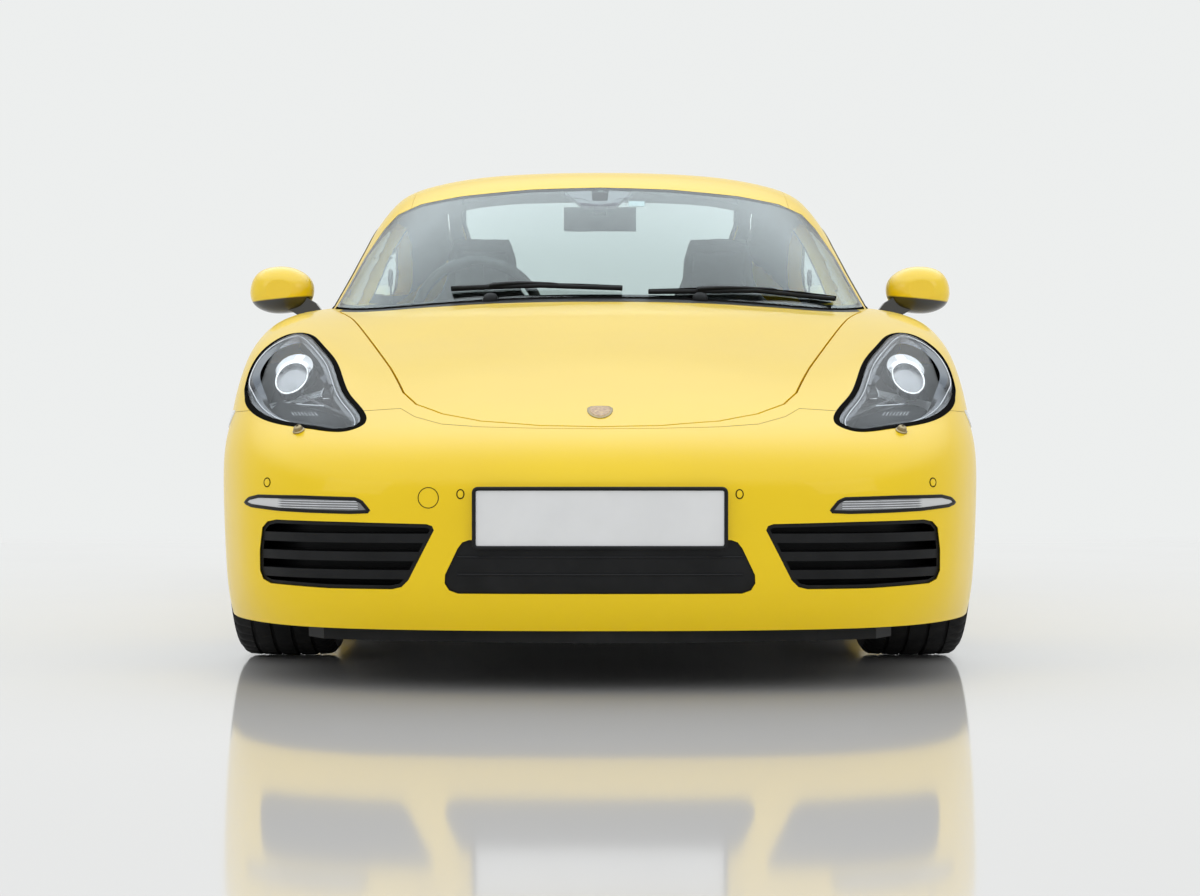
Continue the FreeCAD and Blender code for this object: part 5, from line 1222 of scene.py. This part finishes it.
# %% [markdown]
# The tail gets gaskets, light lines and reversing lamps in its lamps, a third brake light, low reflectors, and
# fins under the bumper. The lamps' inside follows the border of the red cover, as on the head lamps. The
# fins are thin blocks that start on the diffuser.

# %% Tail
red_glow = new_finish("bright red lens", (0.75, 0.018, 0.02), 0.12, coat=1.0)
wander(red_glow, 80.0, (0.62, 0.012, 0.014), (0.82, 0.03, 0.03))
tail_edge = outer_border("tail_lamps", 1, (0.5, 1, 0.2), 0.010)
lamp_pair(moulding("tail_gasket_left", tail_edge,
                   ((-0.003, -0.001), (-0.002, 0.0012), (0.002, 0.0016), (0.0045, 0.001), (0.005, -0.001)), seal))
for number, width in enumerate((0.016, 0.023)):
    lamp_pair(rod("tail_line_%d_left" % (number + 1), calm(inset(tail_edge, width, 0.0004), 6), 0.0024, red_glow,
                  slot="tail_red", closed=True, count=8, up=(0.3, 1, 0.1)))
on_lamp = onto(from_behind, "tail_lamps", "rear_bumper")
lamp_pair(plaque("reversing_lamp_left", on_lamp, outline_of([(560, 700), (560, 728), (700, 728), (712, 700)], 2),
                 0.0022, lamp_white, slot="lamp_strip", crown=0.0008))
for row in range(3):
    line = [(x, 672 - row * 7 + (x - 640) * 0.02) for x in range(620, 800, 12)]
    lamp_pair(rod("tail_rib_%d_left" % (row + 1), traced(on_lamp, line, 0.0006), 0.0016, red_glow, slot="tail_red",
                  count=8))
on_spoiler = onto(from_behind, "rear_spoiler")
plaque("third_brake_light", on_spoiler, outline_of([(-150, 812), (150, 812), (150, 822), (-150, 822)], 1), 0.0018,
       red_glow, slot="tail_red")
on_tail = onto(from_behind, "rear_bumper")
lamp_pair(plaque("rear_reflector_left", on_tail, outline_of([(600, 296), (740, 300), (742, 312), (600, 310)], 1),
                 0.0024, red_glow, slot="tail_red", crown=0.0004))
fins = []
for across in (-430, -300, -190, 190, 300, 430):
    place, way = from_behind(["rear_diffuser"], across, 205)
    fins.append(block((across / 1000 - 0.005, place.y - 0.10, 0.162),
                      (across / 1000 + 0.005, place.y + 0.006, 0.222)))
softened(make_piece("rear_fins", *joined(fins), black_satin), 0.002, 2)
for side, name in SIDES:
    strip = [from_side(["body_side_" + name, "door_" + name], behind, 178, side)[0]
             for behind in range(1560, 2900, 60)]
    points, faces = sweep([Vector((p.x - side * 0.002, p.y, 0.165)) for p in strip],
                          [(-0.008, -0.010), (0.006, -0.010), (0.008, 0.0), (0.006, 0.012), (-0.008, 0.012)])
    make_piece("sill_strip_" + name, points, faces, black_satin)
print("tail ready")

# %% [markdown]
# The cabin shows dimly through the glass and clearly when a door is open. A binnacle with three dials, a blank
# screen and vents turn the plain packed dashboard into one that looks used. The dials have no figures, since
# nothing on the part may carry text.

# %% Dash and console
on_dash = onto(from_behind, "dashboard")
hood = []
for i, (behind, wide, tall) in enumerate(((1700, 0.105, 0.022), (1740, 0.122, 0.044), (1790, 0.130, 0.056),
                                          (1832, 0.128, 0.055), (1836, 0.112, 0.042), (1800, 0.108, 0.036))):
    hood.append([at(-350, behind, 842) + Vector((wide * math.cos(a), 0, max(tall * math.sin(a) * 1.15, 0) - 0.012))
                 for a in (math.pi * j / 12 for j in range(13))])
rounder(make_piece("dial_hood", *loft(hood, caps=False), trim, slot="interior_black"), 1)
for number, (across, radius) in enumerate(((-350, 0.046), (-428, 0.036), (-272, 0.036)), 1):
    place = at(across, 1812, 838)
    dial = ((radius, -0.02), (radius, 0.006), (radius * 0.93, 0.009), (radius * 0.88, 0.003), (radius * 0.3, 0.003),
            (radius * 0.1, 0.005))
    turned("dial_%d" % number, place, Vector((0, 0.97, 0.24)), dial, black_gloss, slot="interior_black", count=40)
    rod("dial_ring_%d" % number, [place + Vector((radius * math.cos(a), 0.0085, radius * math.sin(a))) for a in
                                  (2 * math.pi * i / 40 for i in range(40))], 0.0016, chrome, slot="steel",
        closed=True, count=8, up=(0, 1, 0))
place, way = on_dash(0, 740)
screen = make_piece("blank_screen", *block((-0.098, place.y - 0.012, 0.690), (0.098, place.y + 0.008, 0.800)),
                    black_gloss, slot="interior_black")
softened(screen, 0.006, 3)
def bar(across, up, low, high, y, deep):
    """A box between two corners across and up from a middle, in millimetres."""
    return block(((across + low[0]) / 1000, y - deep[0], (up + low[1]) / 1000),
                 ((across + high[0]) / 1000, y + deep[1], (up + high[1]) / 1000))


vents = []
for across, up in ((-70, 826), (70, 826), (-575, 800), (575, 800)):
    place, way = on_dash(across, up)
    for low, high in (((-52, -22), (52, -17)), ((-52, 17), (52, 22)), ((-52, -22), (-47, 22)), ((47, -22), (52, 22))):
        vents.append(bar(across, up, low, high, place.y, (0.010, 0.006)))
    for step in (-9, 0, 9):
        vents.append(bar(across, up, (-47, step - 1.5), (47, step + 1.5), place.y, (0.004, 0.004)))
softened(make_piece("air_vents", *joined(vents), black_gloss, slot="interior_black"), 0.001, 2)
print("vent bars:", len(vents))

# %% [markdown]
# On the console stand a gear lever in its leather boot and two rows of blank keys. The steering wheel's pad is
# turned about the column's own line, and rides on the wheel, so it turns along when the car steers.

# %% Lever, keys and wheel pad
LEVER_WAY = Vector((0, -0.05, 1)).normalized()

place, way = from_above(["dashboard"], 0, 2010)
turned("lever_boot", place, LEVER_WAY, ((0.050, -0.002), (0.048, 0.010), (0.036, 0.028),
       (0.022, 0.044), (0.012, 0.052), (0.008, 0.054)), leather, slot="seat_leather", count=20)
turned("gear_lever", place, LEVER_WAY, ((0.006, 0.030), (0.006, 0.082), (0.016, 0.086),
       (0.024, 0.100), (0.024, 0.118), (0.016, 0.130), (0.004, 0.134)), black_gloss, slot="interior_black", count=28)
keys = []
for row in range(4):
    for side in (-1, 1):
        spot, way = from_above(["dashboard"], side * 46, 1880 + row * 34)
        keys.append(block(spot + Vector((-0.016, -0.012, -0.002)), spot + Vector((0.016, 0.012, 0.004))))
softened(make_piece("console_keys", *joined(keys), black_gloss, slot="interior_black"), 0.0015, 2)
tilt = math.radians(22)
lean = Vector((0, math.cos(tilt), math.sin(tilt)))
hub = at(-350, 1930, 862)
turned("wheel_pad", hub - lean * 0.002, lean, ((0.060, -0.004), (0.070, 0.004), (0.068, 0.013), (0.050, 0.021),
       (0.024, 0.025), (0.004, 0.026)), leather, "steering_wheel", "interior_black", 36)
print("dash ready")

# %% [markdown]
# A visor is a soft board under the roof's front edge, lofted through one eight-sided section. Mats are thin
# slabs with rounded edges. The belts hang as flat straps from a guide on each post, and the pedals are one
# piece, since none of them moves on its own.

# %% Visors, pedals, mats and belts
VISOR_SECTION = ((-1, -0.5), (-0.9, -1), (0.9, -1), (1, -0.5), (1, 0.5), (0.9, 1), (-0.9, 1), (-1, 0.5))
for side, name in SIDES:
    visor = []
    for across in (110, 130, 250, 380, 405):
        spot, way = from_above(["roof_panel"], side * across, 2010)
        reach = 0.075 if 120 < across < 400 else 0.060
        visor.append([Vector((spot.x, spot.y + 0.055 + u * reach, spot.z - 0.030 + v * 0.007 + u * 0.012))
                      for u, v in VISOR_SECTION])
    rounder(make_piece("sun_visor_" + name, *loft(visor), lining_pale, slot="interior_black"), 1)
    mat = make_piece("floor_mat_" + name, *block((min(side * 0.150, side * 0.600), at(0, 1500, 0).y, 0.1655),
                                                 (max(side * 0.150, side * 0.600), at(0, 1930, 0).y, 0.172)),
                     carpet, slot="carpet")
    softened(mat, 0.003, 2)
    strap = [at(side * across, behind, up) for across, behind, up in
             ((652, 2500, 1010), (648, 2490, 900), (640, 2470, 700), (632, 2455, 480), (628, 2450, 330))]
    points, faces = sweep(strap, [(-0.023, -0.0008), (0.023, -0.0008), (0.023, 0.0008), (-0.023, 0.0008)],
                          up=(side, 0, 0))
    make_piece("belt_" + name, points, faces, black_satin, slot="interior_black")
    turned("belt_guide_" + name, at(side * 654, 2500, 1015), Vector((-side, 0, 0)), ((0.026, -0.004), (0.027, 0.004),
           (0.022, 0.008), (0.004, 0.009)), black_satin, slot="interior_black")
pedals = []
for across in (-470, -390, -300):
    low, high = (260, 330) if across < -300 else (215, 330)
    pedals.append(block(at(across - 28, 1470, low), at(across + 28, 1482, high)))
    pedals.append(sweep([at(across, 1466, high - 20), at(across, 1420, 470)], circle(0.008, 8)))
softened(make_piece("pedals", *joined(pedals), steel, slot="steel"), 0.003, 2)
print("cabin trim ready")

# %% [markdown]
# The seats are sewn cushions on a firm shell. The shell is lofted through rounded sections whose front, back and
# width are read off three lines, as a tailor reads a pattern. It replaces the plain packed seat. One seat is
# made, and the other is its mirror image.

# %% Seats
SEAT_MIDDLE = 372
FRONT_LINE = ((300, 2395), (440, 2352), (640, 2427), (900, 2502), (1060, 2547), (1140, 2577))
BACK_LINE = ((300, 2440), (420, 2518), (600, 2558), (860, 2598), (1040, 2630), (1120, 2636), (1145, 2622))
WIDTH_LINE = ((180, 238), (620, 243), (800, 232), (900, 190), (960, 132), (1010, 112), (1100, 106), (1145, 84))


def along_line(line, value):
    return float(np.interp(value, [a for a, b in line], [b for a, b in line]))


rings = []
for up in (300, 340, 440, 560, 680, 800, 880, 930, 970, 1020, 1080, 1125, 1142):
    front, back, half = along_line(FRONT_LINE, up) + 42, along_line(BACK_LINE, up) - 4, along_line(WIDTH_LINE, up)
    if front > back - 24:
        front = back - 24
    middle, deep = (front + back) / 2, (back - front) / 2
    rings.append([at(SEAT_MIDDLE + half * math.copysign(abs(math.cos(a)) ** 0.45, math.cos(a)),
                     middle + deep * math.copysign(abs(math.sin(a)) ** 0.6, math.sin(a)), up)
                  for a in (2 * math.pi * i / 28 for i in range(28))])
back_shell = loft(rings)
rings = []
for behind, top, low, half in ((1972, 425, 262, 210), (1985, 436, 235, 228), (2080, 424, 206, 238),
                               (2250, 400, 204, 240), (2380, 392, 206, 240), (2440, 380, 214, 236),
                               (2452, 340, 250, 220)):
    middle, deep = (top + low) / 2, (top - low) / 2
    rings.append([at(SEAT_MIDDLE + half * math.copysign(abs(math.cos(a)) ** 0.4, math.cos(a)), behind,
                     middle + deep * math.copysign(abs(math.sin(a)) ** 0.5, math.sin(a)))
                  for a in (2 * math.pi * i / 28 for i in range(28))])
base_shell = loft(rings)
rails = [block(at(SEAT_MIDDLE + x - 18, 2005, 166), at(SEAT_MIDDLE + x + 18, 2395, 206)) for x in (-170, 170)]
seat_shell = make_piece("seat_shell_left", *joined([back_shell, base_shell] + rails), leather, slot="seat_leather")
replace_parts(seat_shell, "seat_left")
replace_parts(twin(seat_shell, "seat_shell_right"), "seat_right")


print("seat shell faces:", len(seat_shell.data.polygons))

# %% [markdown]
# A cushion bulges between its seams. It could be sculpted, but blowing it up as cloth gives the bulge by
# itself. Each pad starts as a slightly small block that follows the seat's line, and is remeshed evenly so that
# the cloth can stretch everywhere alike. It is blown up and held within a small move, so it never leaves its
# place on the shell.

# %% Pads
def pad_block(span_u, span_v, place, thick, steps=(10, 12)):
    """A closed block whose face follows place(u, v) and whose thickness runs along its direction."""
    top, low = [], []
    for i in range(steps[0] + 1):
        for j in range(steps[1] + 1):
            u = span_u[0] + (span_u[1] - span_u[0]) * i / steps[0]
            v = span_v[0] + (span_v[1] - span_v[0]) * j / steps[1]
            spot, way = place(u, v)
            edge = min(i, steps[0] - i, 2) / 2 * min(j, steps[1] - j, 2) / 2
            top.append(spot - way * (0.012 * (1 - edge)))
            low.append(spot - way * thick)
    points = top + low
    wide, count = steps[1] + 1, len(top)
    faces = []
    for i in range(steps[0]):
        for j in range(steps[1]):
            a = i * wide + j
            faces.append((a, a + 1, a + wide + 1, a + wide))
            faces.append((count + a, count + a + wide, count + a + wide + 1, count + a + 1))
    for j in range(steps[1]):
        a, b = j, steps[0] * wide + j
        faces += [(a, count + a, count + a + 1, a + 1), (b, b + 1, count + b + 1, count + b)]
    for i in range(steps[0]):
        a, b = i * wide, i * wide + steps[1]
        faces += [(a, a + wide, count + a + wide, count + a), (b, count + b, count + b + wide, b + wide)]
    return points, faces


def back_place(u, up):
    slope = along_line(FRONT_LINE, up + 20) - along_line(FRONT_LINE, up - 20)
    return at(SEAT_MIDDLE + u, along_line(FRONT_LINE, up) + 12, up), Vector((0, -40, slope)).normalized()


def base_place(u, behind):
    up = float(np.interp(behind, (1970, 2080, 2350), (432, 448, 420)))
    return at(SEAT_MIDDLE + u, behind, up), Vector((0, 0, 1))


PADS = {
    "seat_back_pad": (pad_block((-138, 138), (462, 880), back_place, 0.050), 0.7, 0.016),
    "seat_base_pad": (pad_block((-148, 148), (1985, 2345), base_place, 0.055), 0.7, 0.016),
    "seat_head_pad": (pad_block((-84, 84), (985, 1112), back_place, 0.040, (6, 6)), 0.8, 0.010),
    "seat_back_bolster_in": (pad_block((-232, -150), (455, 800), back_place, 0.055, (6, 12)), 0.9, 0.016),
    "seat_back_bolster_out": (pad_block((150, 232), (455, 800), back_place, 0.055, (6, 12)), 0.9, 0.016),
    "seat_base_bolster_in": (pad_block((-236, -158), (1990, 2330), base_place, 0.060, (6, 12)), 0.9, 0.014),
    "seat_base_bolster_out": (pad_block((158, 236), (1990, 2330), base_place, 0.060, (6, 12)), 0.9, 0.014),
}
pads = {}
for name, ((points, faces), _, _) in PADS.items():
    pad = make_piece(name + "_left", points, faces, leather, slot="seat_leather")
    remesh = pad.modifiers.new("even mesh", "REMESH")
    remesh.mode = "VOXEL"
    remesh.voxel_size = 0.007
    whole = bpy.data.meshes.new_from_object(pad.evaluated_get(bpy.context.evaluated_depsgraph_get()))
    pad.modifiers.clear()
    pad.data = whole
    pads[name] = pad
starts = {name: np.array([tuple(v.co) for v in pad.data.vertices]) for name, pad in pads.items()}
for pad in pads.values():
    cloth = pad.modifiers.new("blown up", "CLOTH")
    cloth.settings.use_pressure = True
    cloth.settings.uniform_pressure_force = 4.0
    cloth.settings.effector_weights.gravity = 0.0
    cloth.settings.quality = 4
for step in range(1, 21):
    scene.frame_set(step)
graph = bpy.context.evaluated_depsgraph_get()
for name, pad in pads.items():
    blown = np.array([tuple(v.co) for v in pad.evaluated_get(graph).data.vertices])
    move = blown - starts[name]
    far = np.linalg.norm(move, axis=1, keepdims=True)
    most = PADS[name][2]
    move *= np.minimum(1.0, most / np.maximum(far, 1e-9))
    pad.modifiers.clear()
    pad.data.vertices.foreach_set("co", (starts[name] + move).ravel())
    pad.data.update()
scene.frame_set(1)
print("pads:", {name: len(pad.data.vertices) for name, pad in pads.items()})

# %% [markdown]
# A sewn channel is a narrow valley that a seam pulls into the pad. Real geometry is better than a bump here,
# because a seat's outline shows the dips from the side. Each point near a seam moves down along its own
# direction, less and less with its distance from the seam.

# %% Sewn channels
CHANNEL_SPACING = 0.075
CHANNEL_DEPTH = 0.007
CHANNEL_WIDTH = 0.005


def sew(pad, of, start, face_way):
    """Presses sewn channels into a pad's face, at even spacing along one of its ways."""
    mesh = pad.data
    normals = [v.normal.copy() for v in mesh.vertices]
    for v, normal in zip(mesh.vertices, normals):
        if normal.dot(face_way) > 0.35:
            off = abs((of(v.co) - start + CHANNEL_SPACING / 2) % CHANNEL_SPACING - CHANNEL_SPACING / 2)
            v.co -= normal * CHANNEL_DEPTH * math.exp(-(off / CHANNEL_WIDTH) ** 2)


sew(pads["seat_back_pad"], lambda c: c.z, 0.52, Vector((0, -1, 0.2)))
sew(pads["seat_base_pad"], lambda c: c.y, at(0, 2040, 0).y, Vector((0, 0, 1)))
for name, pad in pads.items():
    pad.data.shade_smooth()
    finer = pad.modifiers.new("finer", "SUBSURF")
    finer.levels = finer.render_levels = 1
    other = twin(pad, name + "_right")
print("seats ready")

# %% [markdown]
# The floor is a pale, glossy sheet that mirrors the car softly. A plane that ends would show its edge, and a
# curved backdrop would mirror the car twice. So the sheet is large, and past the place where the wall would
# stand it fades into the wall's own colour, behind the car and all round it.

# %% Floor
FLOOR_REACH = 60.0
WALL_PLACE = 4.2
SIDE_REACH = 5.4

floor_mesh = bpy.data.meshes.new("floor")
shape = bmesh.new()
bmesh.ops.create_circle(shape, cap_ends=True, radius=FLOOR_REACH, segments=96)
shape.to_mesh(floor_mesh)
shape.free()
floor = bpy.data.objects.new("floor", floor_mesh)
scene.collection.objects.link(floor)
floor_finish = new_finish("pale floor", (0.84, 0.845, 0.845), 0.12)
shine(floor_finish, 0.35)
uneven(floor_finish, 0.8, 0.055, 0.10)
tree = floor_finish.node_tree
place = own_place(floor_finish)
behind = add(tree, "SeparateXYZ", {"Vector": place}).outputs["Y"]
around = add(tree, "VectorMath", {0: place}, operation="LENGTH").outputs["Value"]
fades = [add(tree, "MapRange", {"From Min": reach - soft, "From Max": reach + soft, "Value": far}).outputs["Result"]
         for far, reach, soft in ((behind, WALL_PLACE, 0.3), (around, SIDE_REACH, 0.4))]
either = add(tree, "Math", {0: fades[0], 1: fades[1]}, operation="MAXIMUM")
far_wall = add(tree, "Emission", {"Color": WALL})
blend = add(tree, "MixShader", {"Fac": either.outputs[0], 1: shader_of(floor_finish).outputs[0],
                                2: far_wall.outputs[0]})
tree.links.new(blend.outputs[0], tree.nodes["Material Output"].inputs["Surface"])
floor.data.materials.append(floor_finish)
print("floor radius", FLOOR_REACH)
